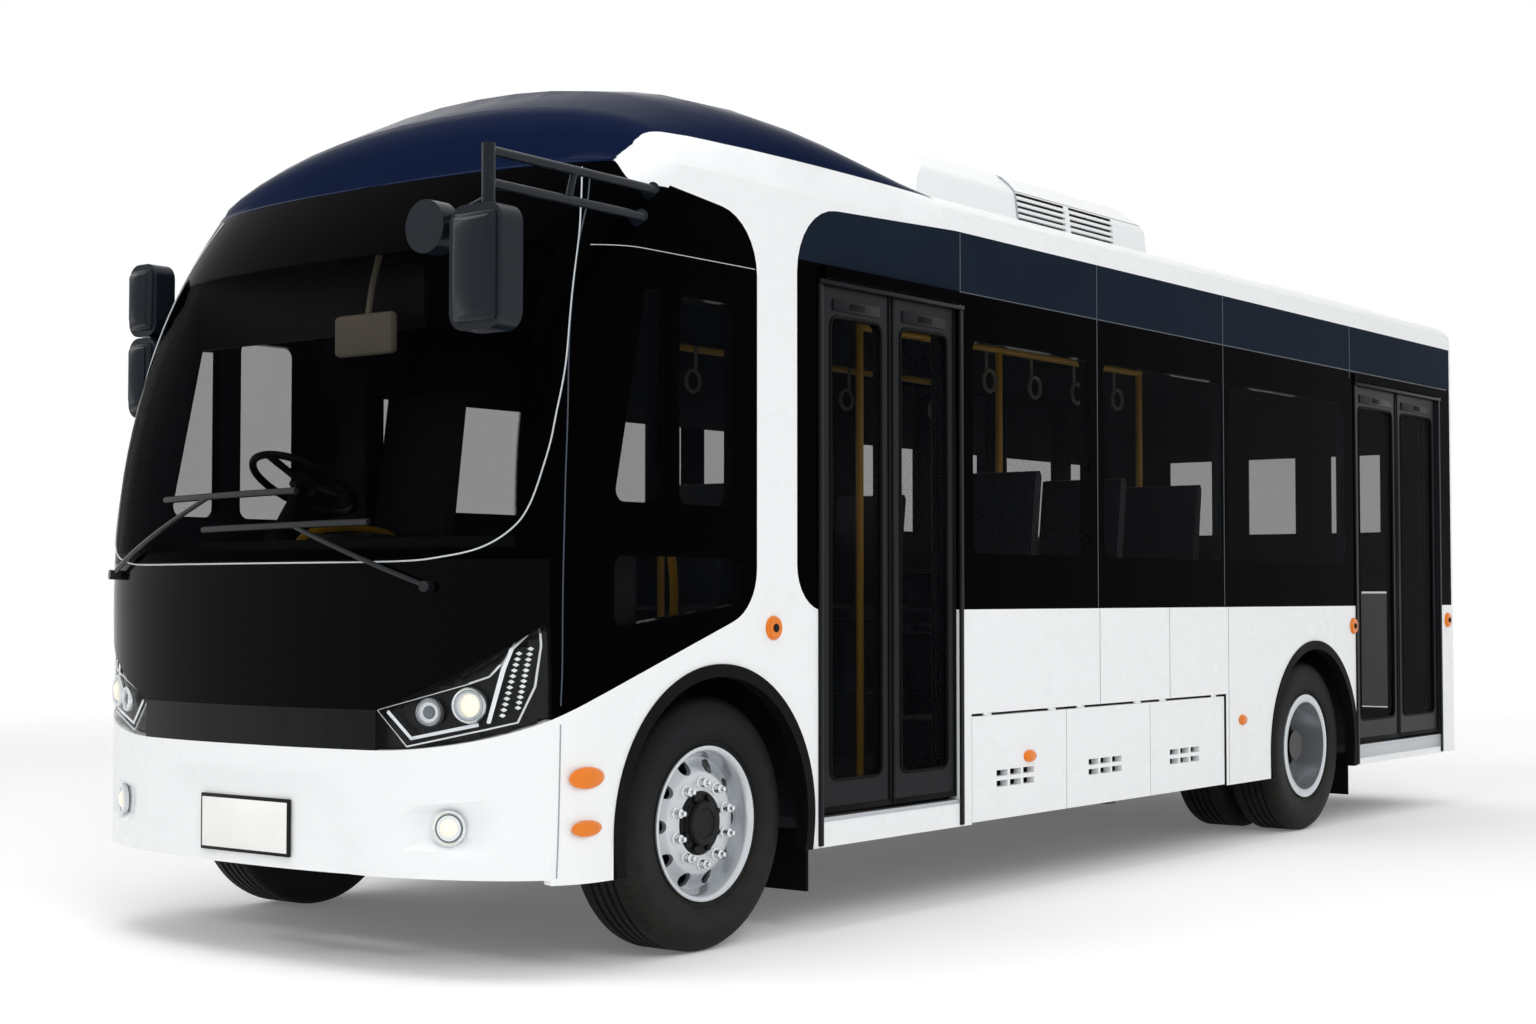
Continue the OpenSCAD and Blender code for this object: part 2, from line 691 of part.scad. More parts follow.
// Wheels, drawn on the X axis about the middle of the tyre, outer side towards +X
bead_r = 250;
rim_r = 272;
module tyre() rotate([0, 90, 0]) rotate_extrude($fn = 72) polygon([
  [bead_r, -half_t + 32], [rim_r + 4, -half_t + 18], [rim_r + 40, -half_t + 4], [tyre_r - 70, -half_t],
  [tyre_r - 26, -half_t + 12], [tyre_r - 8, -half_t + 24], [tyre_r, -half_t + 42], [tyre_r, half_t - 42],
  [tyre_r - 8, half_t - 24], [tyre_r - 26, half_t - 12], [tyre_r - 70, half_t], [rim_r + 40, half_t - 4],
  [rim_r + 4, half_t - 18], [bead_r, half_t - 32]
]);

rim_in = bead_r - fit;
barrel_in = 232;
lip = half_t - 8;

module rim_section(disc, depth) {
  polygon([[barrel_in, -lip], [rim_r, -lip], [rim_r, -lip + 9], [rim_in, -lip + 22], [rim_in, lip - 22],
    [rim_r, lip - 9], [rim_r, lip], [barrel_in, lip]]);
  polygon([[barrel_in + 4, disc - 12], [barrel_in + 4, disc + 4], [200, disc + depth], [110, disc + depth],
    [110, disc + depth - 14], [194, disc + depth - 14]]);
}

hole_circle = 188;
hand_hole_r = 24;

module wheel_disc(disc, depth) difference() {
  rotate([0, 90, 0]) rotate_extrude($fn = 72) rim_section(disc, depth);
  for (i = [0:9]) rotate([36 * i, 0, 0]) translate([-tyre_w, 0, hole_circle]) rotate([0, 90, 0])
    cylinder(h = 2 * tyre_w, r = hand_hole_r);
}

module hub(x0, x1, cap) difference() {
  union() {
    translate([x0, 0, 0]) rotate([0, 90, 0]) cylinder(h = x1 - x0, r = 112);
    translate([x1, 0, 0]) rotate([0, 90, 0]) cylinder(h = cap, r = 78);
  }
  translate([x0 - 1, 0, 0]) rotate([0, 90, 0]) cylinder(h = 62 - x0, r = stub_r + fit);
}

front_disc = 60;
front_dish = 34;
rear_disc = -70;

module front_tyre() color(rubber) translate([wheel_x, fa, wheel_z]) tyre();
module front_rim() color("#c3c6c9") translate([wheel_x, fa, wheel_z]) {
  wheel_disc(front_disc, front_dish);
  hub(-40, front_disc + front_dish + 6, 22);
}

module rear_tyres() color(rubber) for (x = [wheel_x, wheel_x - twin_pitch])
  translate([x, fa + wheelbase, wheel_z]) tyre();

module rear_rims() color("#c3c6c9") translate([wheel_x, fa + wheelbase, wheel_z]) {
  wheel_disc(rear_disc, -34);
  translate([-twin_pitch, 0, 0]) mirror([1, 0, 0]) wheel_disc(rear_disc, -34);
  difference() {
    union() {
      translate([-twin_pitch + 60, 0, 0]) rotate([0, 90, 0]) cylinder(h = twin_pitch - 40, r = 112);
      translate([20, 0, 0]) rotate([0, 90, 0]) cylinder(h = 50, r = 78);
    }
    translate([-twin_pitch, 0, 0]) rotate([0, 90, 0]) cylinder(h = twin_pitch - 58, r = stub_r + fit);
  }
}

module tyre_front_left() front_tyre();
module tyre_front_right() mirror([1, 0, 0]) front_tyre();
module tyre_rear_left() rear_tyres();
module tyre_rear_right() mirror([1, 0, 0]) rear_tyres();
module rim_front_left() front_rim();
module rim_front_right() mirror([1, 0, 0]) front_rim();
module rim_rear_left() rear_rims();
module rim_rear_right() mirror([1, 0, 0]) rear_rims();

// Doors: a leaf hangs on a post inside its jamb, so it swings into the cabin
stile = 62;
arm_h = 30;
leaf_h = door_top_z - gap - leaf_low_z;
leaf_glass_low = 120;
leaf_glass_h = leaf_h - 240;

module leaf_pane(w) translate([w / 2, leaf_glass_low + leaf_glass_h / 2])
  rounded(w - 2 * stile, leaf_glass_h, 40);

module in_leaf() translate([leaf_x, 0, leaf_low_z]) rotate([90, 0, 90]) children();

module door(w) color("#2b2e32") {
  in_leaf() linear_extrude(leaf_t) difference() {
    square([w, leaf_h]);
    leaf_pane(w);
  }
  translate([post_x, post_in - gap, floor_z + fit]) cylinder(h = door_top_z - floor_z - 30, r = post_r);
  for (z = [leaf_low_z + 60, door_top_z - 100])
    translate([post_x, post_in - gap - 15, z]) cube([leaf_x - post_x + 4, 30, arm_h]);
}

module door_glass(w) color(glass) in_leaf() translate([0, 0, leaf_t - 6 - glass_t])
  linear_extrude(glass_t) leaf_pane(w);

leaf1_w = (door1_w - 3 * gap) / 2;
leaf2_w = (door2_w - 3 * gap) / 2;

module hung_ahead(s) translate([0, fa + s + gap, 0]) children();
module hung_behind(s) translate([0, fa + s - gap, 0]) mirror([0, 1, 0]) children();
module door_front_a() hung_ahead(door1_at) door(leaf1_w);
module door_front_b() hung_behind(door1_end) door(leaf1_w);
module door_rear_a() hung_ahead(door2_at_s) door(leaf2_w);
module door_rear_b() hung_behind(door2_end) door(leaf2_w);
module door_glass_front_a() hung_ahead(door1_at) door_glass(leaf1_w);
module door_glass_front_b() hung_behind(door1_end) door_glass(leaf1_w);
module door_glass_rear_a() hung_ahead(door2_at_s) door_glass(leaf2_w);
module door_glass_rear_b() hung_behind(door2_end) door_glass(leaf2_w);

// Side flaps and rear hatch
slot_w = 90;
slot_h = 26;
slot_gap = 18;
slots_at = 0.25;
slots_z = flap_low_z + 132;

module flap(i) color(white) {
  s0 = flap_at + i * flap_w;
  slots_s = s0 + slots_at * flap_w;
  difference() {
    block(hinge_x - flap_t, hinge_x, s0 + gap / 2, s0 + flap_w - gap / 2, flap_low_z, flap_top_z);
    for (c = [0:2], r = [0, 1])
      translate([0, c * (slot_w + slot_gap), r * (slot_h + slot_gap)])
        block(hinge_x - flap_t - 1, hinge_x + 1, slots_s, slots_s + slot_w, slots_z, slots_z + slot_h);
  }
  for (e = [0.12, 0.8]) translate([hinge_x, fa + s0 + e * flap_w + 28 + fit, flap_top_z + hinge_r + 1]) {
    rotate([-90, 0, 0]) cylinder(h = 28, r = hinge_r);
    translate([-hinge_r, 0, -hinge_r - 2]) cube([hinge_r, 28, hinge_r + 2]);
  }
}

module flap_left_1() flap(0);
module flap_left_2() flap(1);
module flap_left_3() flap(2);

module rear_hatch() color(white) {
  block(-hatch_half, hatch_half, hatch_s - flap_t, hatch_s, hatch_low_z, hatch_top_z);
  hatch_barrels(barrel + fit, true);
}

// Roof units: the cooling unit with louvres in its flanks, and a flat fairing at the rear
roof_top = cantrail_z + roof_rise;
ac_at = 1750;
ac_end = ac_at + ac_len;
fairing_at = ac_end + 1450;
fairing_end = side_end - 50;
fairing_h = 60;
louvre_h = 14;
louvre_d = 40;
louvres = [[0.41, 0.62], [0.64, 0.84]];

module cross_section(s0, s1) translate([0, fa + s1, roof_top]) rotate([90, 0, 0])
  linear_extrude(s1 - s0) children();
module side_section(s0) translate([-ac_half, fa + s0, roof_top]) rotate([90, 0, 90])
  linear_extrude(2 * ac_half) children();

// Line of the roof under the units
roof_line = [for (p = roof_row(0, half_w, roof_rise, roof_flat)) [p[0], p[2] - roof_top + seam_fit]];
unit_edge = [ac_half, lookup(ac_half, roof_line)];
unit_base = concat([unit_edge], [for (i = [roof_cols:-1:0]) if (abs(roof_line[i][0]) < ac_half) roof_line[i]],
  [[-unit_edge[0], unit_edge[1]]]);
unit_low = unit_edge[1] - 1;
function based(v) = concat(v, [for (p = unit_base) [p[0], p[1], 0]]);

module roof_units() color(white) {
  difference() {
    intersection() {
      side_section(ac_at) polygon(softened([[0, unit_low, 0], [40, 0.45 * ac_h, 60], [190, ac_h, 120],
        [ac_len - 120, ac_h, 60], [ac_len, 0.5 * ac_h, 40], [ac_len, unit_low, 0]]));
      cross_section(ac_at, ac_end) polygon(softened(based([[-ac_half + 20, 0.6 * ac_h, 60],
        [-ac_half + 130, ac_h, 80], [ac_half - 130, ac_h, 80], [ac_half - 20, 0.6 * ac_h, 60]])));
    }
    mirrored() for (g = louvres, i = [0:4])
      block(ac_half - louvre_d, ac_half + 1, ac_at + g[0] * ac_len, ac_at + g[1] * ac_len,
        roof_top + 26 + 2 * i * louvre_h, roof_top + 26 + (2 * i + 1) * louvre_h);
  }
  intersection() {
    side_section(fairing_at) polygon([[0, unit_low], [200, fairing_h],
      [fairing_end - fairing_at - 160, fairing_h], [fairing_end - fairing_at, unit_low]]);
    cross_section(fairing_at, fairing_end) polygon(softened(based([[-ac_half + 90, fairing_h, 0],
      [ac_half - 90, fairing_h, 0]])));
  }
}

// Lamps
module lens(x, s, z, r) {
  translate([x, fa + s, z]) rotate([0, 90, 0]) cylinder(h = 14, r = r);
}

// Side lamps as station and height
side_lamps = [[309, belt_z - 60], [door2_at_s - 60, belt_z - 110], [side_end - 70, belt_z - 90]];
side_lamp_r = 36;
tail_lamp_r = 38;
tail_lamps_z = [belt_z + 140, belt_z + 230, belt_z - 570];

module marker_lamps() color("#e08a1e") mirrored() for (p = side_lamps) lens(half_w, p[0], p[1], side_lamp_r);

module tail_lamps() color("#a11c1c") mirrored() for (z = tail_lamps_z)
  translate([half_w - corner_r - 60, fa + tail, z]) rotate([-90, 0, 0])
    cylinder(h = tail_lamp_t, r = tail_lamp_r);

// Mirrors on tube arms: long on the door side, short on the driver's side
arm_r = 15;
stem_r = 21;
arms_z = [cantrail_z - 226, cantrail_z - 126];
foot_t = 25;
foot_a = 80;
foot_out = 45;
head_w = 225;
head_h = 385;
head_d = 90;
head_c = [half_w + mirror_out - head_w / 2, fa - mirror_ahead + head_d / 2, cantrail_z - 491];
hang = head_c + [0, 10, 0];
foot_n = outward(foot_a, arms_z[0]);
function foot(z) = skin(foot_a, z, 0);
function arm_end(z) = foot(z) + foot_out * foot_n;
function on_arm(z, k) = arm_end(z) + k * ([hang[0], hang[1], z] - arm_end(z));
link_at = 0.5;
spot_c = [half_w - 135, hang[1], cantrail_z - 346];
spot_r = 84;
short_w = 172;
short_x = half_w + mirror_out - short_w / 2;
short_z = [cantrail_z - 311, cantrail_z - 621];
short_h = [290, 320];
short_foot_z = cantrail_z - 486;

module head(w, h) rotate([90, 0, 0]) translate([0, 0, -head_d / 2]) linear_extrude(head_d) rounded(w, h, 60);

module mirrors() color(dark) {
  for (z = arms_z) {
    rod(foot(z) + fit * foot_n, foot(z) + (foot_out + arm_r - 2) * foot_n, stem_r);
    rod(arm_end(z), [hang[0], hang[1], z], arm_r);
  }
  rod(on_arm(arms_z[0], link_at), on_arm(arms_z[1], link_at), arm_r - 3);
  translate(hang) cylinder(h = arms_z[1] + stem_r - hang[2], r = stem_r);
  translate(head_c) head(head_w, head_h);
  rod([hang[0], hang[1], arms_z[0] - 45], spot_c + [0, 0, 10], 10);
  translate([spot_c[0], head_c[1] - head_d / 2, spot_c[2]]) rotate([-90, 0, 0]) cylinder(h = 70, r = spot_r);
  mirror([1, 0, 0]) {
    block(half_w, half_w + foot_t, -304, -244, short_foot_z - 110, short_foot_z + 110);
    rod([half_w + 20, fa - 274, short_foot_z], [short_x, fa - 520, short_foot_z], arm_r);
    for (i = [0, 1]) translate([short_x, fa - 540, short_z[i]]) head(short_w, short_h[i]);
    translate([short_x, fa - 520, short_z[1]]) cylinder(h = short_z[0] - short_z[1], r = stem_r);
  }
}

// Tube swept along a list of points
function tangent(p, i) = unit(p[min(i + 1, len(p) - 1)] - p[max(i - 1, 0)]);
function ring(c, t, r, n) = let (u = unit(cross(t, [0, 0, 1])), v = cross(t, u))
  [for (k = [0:n - 1]) c + r * (cos(360 * k / n) * u + sin(360 * k / n) * v)];
module tube(path, r, n) {
  last = len(path) - 1;
  rings = [for (i = [0:last]) ring(path[i], tangent(path, i), r, n)];
  sides = [for (i = [0:last - 1]) for (k = [0:n - 1]) let (j = (k + 1) % n)
    [i * n + k, (i + 1) * n + k, (i + 1) * n + j, i * n + j]];
  ends = [[for (k = [0:n - 1]) k], [for (k = [n - 1:-1:0]) last * n + k]];
  polyhedron(flat(rings), concat(sides, ends));
}

// Wipers lie a little ahead of the glass on spindles through the mask
wiper_off = -24;
spindle_h = 40;
function along(x0, z0, x1, z1, n, d) =
  [for (i = [0:n]) skin(angle_at(x0 + (x1 - x0) * i / n), z0 + (z1 - z0) * i / n, d)];
module wiper(x0, z0, x1, z1, blade) {
  spindle = skin(angle_at(x0), z0, 0);
  rod(spindle + 0.1 * outward(angle_at(x0), z0), spindle + spindle_h * outward(angle_at(x0), z0), 18);
  tube(along(x0, z0, x1, z1, 10, wiper_off), 9, 8);
  tube(along(blade[0], z1 - 1, blade[1], z1 + 12, 10, wiper_off), 12, 8);
}

module wipers() color("#121314") {
  wiper(0.668 * half_w, screen_low_z - 90, 0.209 * half_w, screen_low_z + 112, half_w * [-0.19, 0.47]);
  wiper(-0.748 * half_w, screen_low_z - 42, -0.19 * half_w, screen_low_z + 224, half_w * [-0.407, 0.194]);
}

// Cabin
dash_top = box_top + 420;
dash_back = -330;
dash_half = inner_x - 55;

module dashboard() color("#2d3034") {
  block(-box_in_front, box_in_front, -560, dash_back, floor_z, box_top);
  block(-dash_half, dash_half, -680, dash_back, box_top, dash_top);
}

driver_x = -box_in_front - 180;
steer_c = [driver_x, fa - 260, dash_top + 235];
column_s = -400;
column_r = 28;
steer_tilt = -30;

module steering_wheel() color("#1c1d1f") {
  translate(steer_c) rotate([steer_tilt, 0, 0]) {
    rotate_extrude($fn = 48) translate([215, 0]) circle(15, $fn = 24);
    translate([0, 0, -20]) cylinder(h = 40, r = 55);
    for (a = [30, 150, 270]) rotate([0, 0, a]) translate([30, -18, -7]) cube([180, 36, 14]);
  }
  rod([driver_x, fa + column_s, dash_top + column_r], steer_c, column_r);
  translate([driver_x, fa + column_s, dash_top]) cylinder(h = 2 * column_r, r = column_r + 14);
}

// Moulded seat shell on a pedestal, drawn facing forward with the middle of its cushion at the origin
seat_w = 420;
seat_z = 400;

module seat() {
  translate([-seat_w / 2, 0, 0]) rotate([90, 0, 90]) linear_extrude(seat_w) polygon([
    [-225, seat_z + 50], [-205, seat_z], [190, seat_z - 30], [235, seat_z + 20], [315, seat_z + 640],
    [300, seat_z + 665], [265, seat_z + 660], [185, seat_z + 75], [150, seat_z + 45], [-200, seat_z + 65]]);
  translate([-60, -60, 0]) cube([120, 120, seat_z + 12]);
}

module seats() color("#4c5260") {
  mirrored() for (i = [0:2]) translate([inner_x - 255, fa + flap_at + (i + 0.53) * flap_w, pack_top_z]) seat();
  translate([driver_x - 50, fa + 160, box_top]) seat();
}

// Poles carry one long rail a side
pole_x = inner_x - 575;
pole_r = 17;
pole_h = cantrail_z - 316 - floor_z;
pole_s = [flap_at + 90, (flap_at + flap_end) / 2 + 70, flap_end + 300];

module grab_rails() color("#e3b81f") mirrored() translate([pole_x, fa, floor_z]) {
  for (s = pole_s) translate([0, s, 0]) cylinder(h = pole_h, r = pole_r);
  translate([0, pole_s[0] - 10, pole_h - 10]) rotate([-90, 0, 0])
    cylinder(h = pole_s[2] - pole_s[0] + 20, r = pole_r);
}

// Trims
trim_t = 45;

module arch_trims() color(dark) mirrored() for (s = [0, wheelbase])
  wall(inner_x + 4, wall_t + 2) intersection() {
    difference() {
      translate([s, wheel_z]) circle(arch_r);
      translate([s, wheel_z]) circle(arch_r - trim_t);
    }
    translate([s - arch_r, skirt_z]) square([2 * arch_r, 2 * arch_r]);
  }

module mud_flaps() color(rubber) mirrored() for (a = wells)
  block(wheel_x - half_t, inner_x, a[0] + a[2] - box_t + 4, a[0] + a[2] - box_t + 16, 150, rail_top);

chassis_rails();
cross_members();
rail_brackets();
tow_eyes();
floor_pan();
wheel_boxes();
side_left();
side_right();
window_frame_left();
window_frame_right();
roof_shell();
roof_dome();
rear_panel();
front_bumper();
front_corners();
grille_panel();
front_mask();
corner_pillars();
windscreen();
window_glass();
headlamps();
front_axle();
rear_axle();
traction_motor();
battery_packs();
roof_units();
marker_lamps();
tail_lamps();
mirrors();
wipers();
dashboard();
steering_wheel();
seats();
grab_rails();
arch_trims();
mud_flaps();
knuckle_left();
knuckle_right();
tie_rod();
tyre_front_left();
tyre_front_right();
tyre_rear_left();
tyre_rear_right();
rim_front_left();
rim_front_right();
rim_rear_left();
rim_rear_right();
door_front_a();
door_front_b();
door_rear_a();
door_rear_b();
door_glass_front_a();
door_glass_front_b();
door_glass_rear_a();
door_glass_rear_b();
flap_left_1();
flap_left_2();
flap_left_3();
rear_hatch();
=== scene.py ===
"""Looks for the airport passenger bus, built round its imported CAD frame."""

import json
import math

import bpy
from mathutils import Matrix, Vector


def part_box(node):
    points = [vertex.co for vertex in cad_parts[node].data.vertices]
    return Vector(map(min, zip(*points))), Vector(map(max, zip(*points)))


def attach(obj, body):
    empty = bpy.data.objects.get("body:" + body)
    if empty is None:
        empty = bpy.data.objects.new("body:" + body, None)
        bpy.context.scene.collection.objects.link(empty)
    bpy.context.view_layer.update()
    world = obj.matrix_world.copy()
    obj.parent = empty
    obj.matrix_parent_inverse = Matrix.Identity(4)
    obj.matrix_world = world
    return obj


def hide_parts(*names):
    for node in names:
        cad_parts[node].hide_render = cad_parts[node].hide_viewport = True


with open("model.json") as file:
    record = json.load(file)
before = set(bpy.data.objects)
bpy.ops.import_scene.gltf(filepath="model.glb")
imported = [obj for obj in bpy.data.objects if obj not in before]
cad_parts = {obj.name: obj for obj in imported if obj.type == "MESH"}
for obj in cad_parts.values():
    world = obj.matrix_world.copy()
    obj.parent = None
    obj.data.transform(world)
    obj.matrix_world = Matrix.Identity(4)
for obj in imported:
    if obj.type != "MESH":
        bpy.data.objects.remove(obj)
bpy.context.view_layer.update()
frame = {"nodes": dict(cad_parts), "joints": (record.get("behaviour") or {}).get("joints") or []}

bl_info = {
    "name": "Airport passenger bus",
    "version": (1, 0, 0),
    "blender": (4, 5, 0),
    "location": "View3D > Sidebar > Bus",
    "description": "Dresses the bus frame with paint, glass, lamps, wheels and fittings",
    "category": "Add Mesh",
}

JOINTS = {joint["name"]: Vector(joint["pos_m"]) for joint in frame["joints"]}
FRONT_AXLE = JOINTS["steer_left"].y
REAR_AXLE = JOINTS["spin_rear_left"].y
WHEEL_X = JOINTS["spin_front_left"].x
WHEEL_Z = JOINTS["spin_front_left"].z
SIDE_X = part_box("side_left")[1].x
NOSE_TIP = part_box("front_bumper")[0].y
SCREEN_LOW, CANTRAIL = (corner.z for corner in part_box("windscreen"))
CABIN_MIDDLE = (0.0, 0.6, 1.6)

# White fin on the dome: a slope over the station that levels out at its top
FIN_SLOPE = 0.97
FIN_BASE = 3.132
FIN_TOP = 2.858
FIN_ROUND = 0.07
# Lower line and front end of the slate panels
BAND_LINE = 2.49
BAND_START = 0.31
# Half width of the edge between two paints
PAINT_EDGE = 0.0015
SIPES = 72
# Sizes of the patterns in millimetres: clouds in a paint, patches of dust, holes of the mesh, floor specks
CLOUD_MM = 435
DUST_MM = 71.4
MESH_MM = 9.1
SPECK_MM = 4.2
# What the clear part of the windscreen hides of the cabin
SCREEN_TINT = 0.28


def at(x, station, z):
    """Point at a station measured back from the front axle."""
    return Vector((x, FRONT_AXLE + station, z))


def linear(code):
    """Turn an sRGB hex colour into linear values."""
    parts = [int(code[i:i + 2], 16) / 255 for i in (1, 3, 5)]
    return [p / 12.92 if p <= 0.04045 else ((p + 0.055) / 1.055) ** 2.4 for p in parts]


def colour(name, description, code):
    return bpy.props.FloatVectorProperty(
        name=name, description=description, subtype="COLOR", size=3, min=0, max=1, default=linear(code)
    )


def length(name, description, metres):
    return bpy.props.FloatProperty(name=name, description=description, default=metres, min=0, unit="LENGTH")


class BusColours(bpy.types.PropertyGroup):
    """Colours of the paints and plastics."""

    white: colour("White paint", "Lower sides, pillars, fin and roof", "#f1f3f4")
    navy: colour("Navy paint", "Front dome", "#0a1733")
    slate: colour("Slate paint", "Upper side panels", "#1a2330")
    black: colour("Gloss black", "Front mask and window band", "#020203")
    door: colour("Door grey", "Door frames", "#121417")
    amber: colour("Amber", "Side lamps", "#e67a08")
    yellow: colour("Rail yellow", "Grab rails", "#c9971a")
    silver: colour("Wheel silver", "Wheel discs", "#c9cdd1")
    seat: colour("Seat grey", "Passenger seats", "#1d2025")
    lining: colour("Lining", "Inner faces of the walls and the roof", "#24272c")


class BusSizes(bpy.types.PropertyGroup):
    """Sizes of the added fittings."""

    plate_w: length("Plate width", "Width of the blank number plate", 0.44)
    plate_h: length("Plate height", "Height of the blank number plate", 0.17)
    nut_circle: length("Nut circle", "Radius of the circle of wheel nuts", 0.1425)
    groove: length("Tread depth", "Depth of the grooves of the tyres", 0.012)
    seam: length("Seam width", "Width of the panel seams", 0.005)
    pinstripe: length("Pinstripe", "Half width of the line round the windscreen", 0.0028)
    handle: length("Handle drop", "Length of the handles below the grab rails", 0.17)
    bead: length("Glazing bead", "Radius of the rubber bead round the door glass", 0.007)


def tones():
    return bpy.context.scene.bus_colours


def sizes():
    return bpy.context.scene.bus_sizes


# Materials

# Settings that shader nodes share; inputs 6 and 7 of a colour mix are its two colours
SMOOTH = {"interpolation_type": "SMOOTHSTEP"}
COLOURS = {"data_type": "RGBA", "out": 2}
TIMES = {"operation": "MULTIPLY"}
MINUS = {"operation": "SUBTRACT"}


def fill(tree, node, inputs):
    """Set or link the inputs of a shader node."""
    for key, value in inputs.items():
        socket = node.inputs[key]
        if isinstance(value, bpy.types.NodeSocket):
            tree.links.new(value, socket)
        elif socket.type == "RGBA":
            socket.default_value = (*value, 1)
        else:
            socket.default_value = value


def add(tree, kind, inputs=(), out=0, **settings):
    """Add a shader node with its settings, fill its inputs and give one of its outputs."""
    made = tree.nodes.new("ShaderNode" + kind)
    for key, value in settings.items():
        setattr(made, key, value)
    fill(tree, made, inputs if isinstance(inputs, dict) else dict(enumerate(inputs)))
    return made.outputs[out]


def lined(tree, place, outer):
    """Paint outside and a dark lining on the faces that look into the cabin."""
    arm = add(tree, "VectorMath", (place, CABIN_MIDDLE), **MINUS)
    facing = place.node.outputs["Normal"]
    look = add(tree, "VectorMath", (facing, arm), "Value", operation="DOT_PRODUCT")
    outward_share = add(tree, "MapRange", (look, -0.02, 0.02), **SMOOTH)
    return add(tree, "Mix", {0: outward_share, 6: tones().lining, 7: outer}, **COLOURS)


def surface(name, base, rough, metal=0.0, coat=0.0, spec=0.5, grain_mm=3.0, grain=0.1, cloud=0.06,
            dust=0.0, alpha=1.0, glow=0.0, inside=False):
    """Principled material with a fine grain, a slow change of tone and road dust low down.

    base is a colour, or a function of the tree and the place that gives a colour socket.
    alpha is a number, or a function of the tree and the place that gives a value socket.
    """
    made = bpy.data.materials.new(name)
    made.use_nodes = True
    tree = made.node_tree
    place = add(tree, "TexCoord", out="Object")
    tone = base(tree, place) if callable(base) else base
    if inside:
        tone = lined(tree, place, tone)
    # A noise scale is the number of cells in a metre
    fine = add(tree, "TexNoise", {"Vector": place, "Scale": 1000 / grain_mm, "Detail": 3.0}, "Fac")
    slow = add(tree, "TexNoise", {"Vector": place, "Scale": 1000 / CLOUD_MM, "Detail": 4.0}, "Fac")
    value = add(tree, "MapRange", (slow, 0.3, 0.7, 1 - cloud, 1 + cloud), **SMOOTH)
    tone = add(tree, "HueSaturation", {"Color": tone, "Value": value})
    if dust:
        height = add(tree, "SeparateXYZ", (place,), "Z")
        low = add(tree, "MapRange", (height, 0.3, 0.75, 1.0, 0.0), **SMOOTH)
        spread = add(tree, "TexNoise", {"Vector": place, "Scale": 1000 / DUST_MM, "Detail": 6.0}, "Fac")
        spread = add(tree, "Math", (low, spread), **TIMES)
        share = add(tree, "Math", (spread, dust), **TIMES)
        tone = add(tree, "Mix", {0: share, 6: tone, 7: linear("#8d8577")}, **COLOURS)
    finish = {
        "Base Color": tone,
        "Roughness": add(tree, "MapRange", (slow, 0.2, 0.8, rough * 0.85, rough * 1.15), **SMOOTH),
        "Normal": add(tree, "Bump", {"Height": fine, "Strength": grain, "Distance": 0.0006}),
        "Metallic": metal,
        "Specular IOR Level": spec,
        "Coat Weight": coat,
        "Coat Roughness": 0.04,
        "Alpha": alpha(tree, place) if callable(alpha) else alpha,
    }
    if glow:
        finish["Emission Color"] = base
        finish["Emission Strength"] = glow
    fill(tree, tree.nodes["Principled BSDF"], finish)
    return made


def axes(tree, place):
    """Split a place into side offset, station and height."""
    parts = add(tree, "SeparateXYZ", (place,)).node.outputs
    side = add(tree, "Math", (parts["X"],), operation="ABSOLUTE")
    station = add(tree, "Math", (parts["Y"], FRONT_AXLE), **MINUS)
    return side, station, parts["Z"]


def polar(tree, place):
    """Radius and angle of a place about the nearer axle."""
    parts = add(tree, "SeparateXYZ", (place,)).node.outputs
    middle = add(tree, "Math", (parts["Y"], (FRONT_AXLE + REAR_AXLE) / 2), **MINUS)
    distance = add(tree, "Math", (middle,), operation="ABSOLUTE")
    along = add(tree, "Math", (distance, (REAR_AXLE - FRONT_AXLE) / 2), **MINUS)
    up = add(tree, "Math", (parts["Z"], WHEEL_Z), **MINUS)
    arm = add(tree, "CombineXYZ", (along, up))
    radius = add(tree, "VectorMath", (arm,), "Value", operation="LENGTH")
    return radius, add(tree, "Math", (up, along), operation="ARCTAN2")


def within(tree, *limits):
    """Share of a place that lies inside every limit.

    A limit is a value, where its step starts and ends, and 1, 0 for a step that falls.
    """
    share = 1.0
    for limit in limits:
        step = add(tree, "MapRange", limit, **SMOOTH)
        share = add(tree, "Math", (share, step), **TIMES)
    return share


def dome_colour(tree, place):
    """Navy dome with the white fin along its lower side."""
    _, station, height = axes(tree, place)
    rise = add(tree, "Math", (station, FIN_SLOPE, FIN_BASE), operation="MULTIPLY_ADD")
    line = add(tree, "Math", (rise, FIN_TOP, FIN_ROUND), operation="SMOOTH_MIN")
    below = add(tree, "Math", (line, height), **MINUS)
    fin = add(tree, "MapRange", (below, -PAINT_EDGE, PAINT_EDGE), **SMOOTH)
    return add(tree, "Mix", {0: fin, 6: tones().navy, 7: tones().white}, **COLOURS)


def pillar_colour(tree, place):
    """Black corner or glass with the white tip of the fin at its top."""
    side, _, height = axes(tree, place)
    line = add(tree, "MapRange", (side, 1.02, 1.15, 2.746, 2.645), **SMOOTH)
    above = add(tree, "Math", (height, line), **MINUS)
    tip = add(tree, "MapRange", (above, -PAINT_EDGE, PAINT_EDGE), **SMOOTH)
    return add(tree, "Mix", {0: tip, 6: tones().black, 7: tones().white}, **COLOURS)


def band_colour(tree, place):
    """Black band with slate panels above its upper line."""
    _, station, height = axes(tree, place)
    upper = within(
        tree, (height, BAND_LINE - 0.002, BAND_LINE + 0.002), (station, BAND_START - 0.01, BAND_START + 0.01)
    )
    return add(tree, "Mix", {0: upper, 6: tones().black, 7: tones().slate}, **COLOURS)


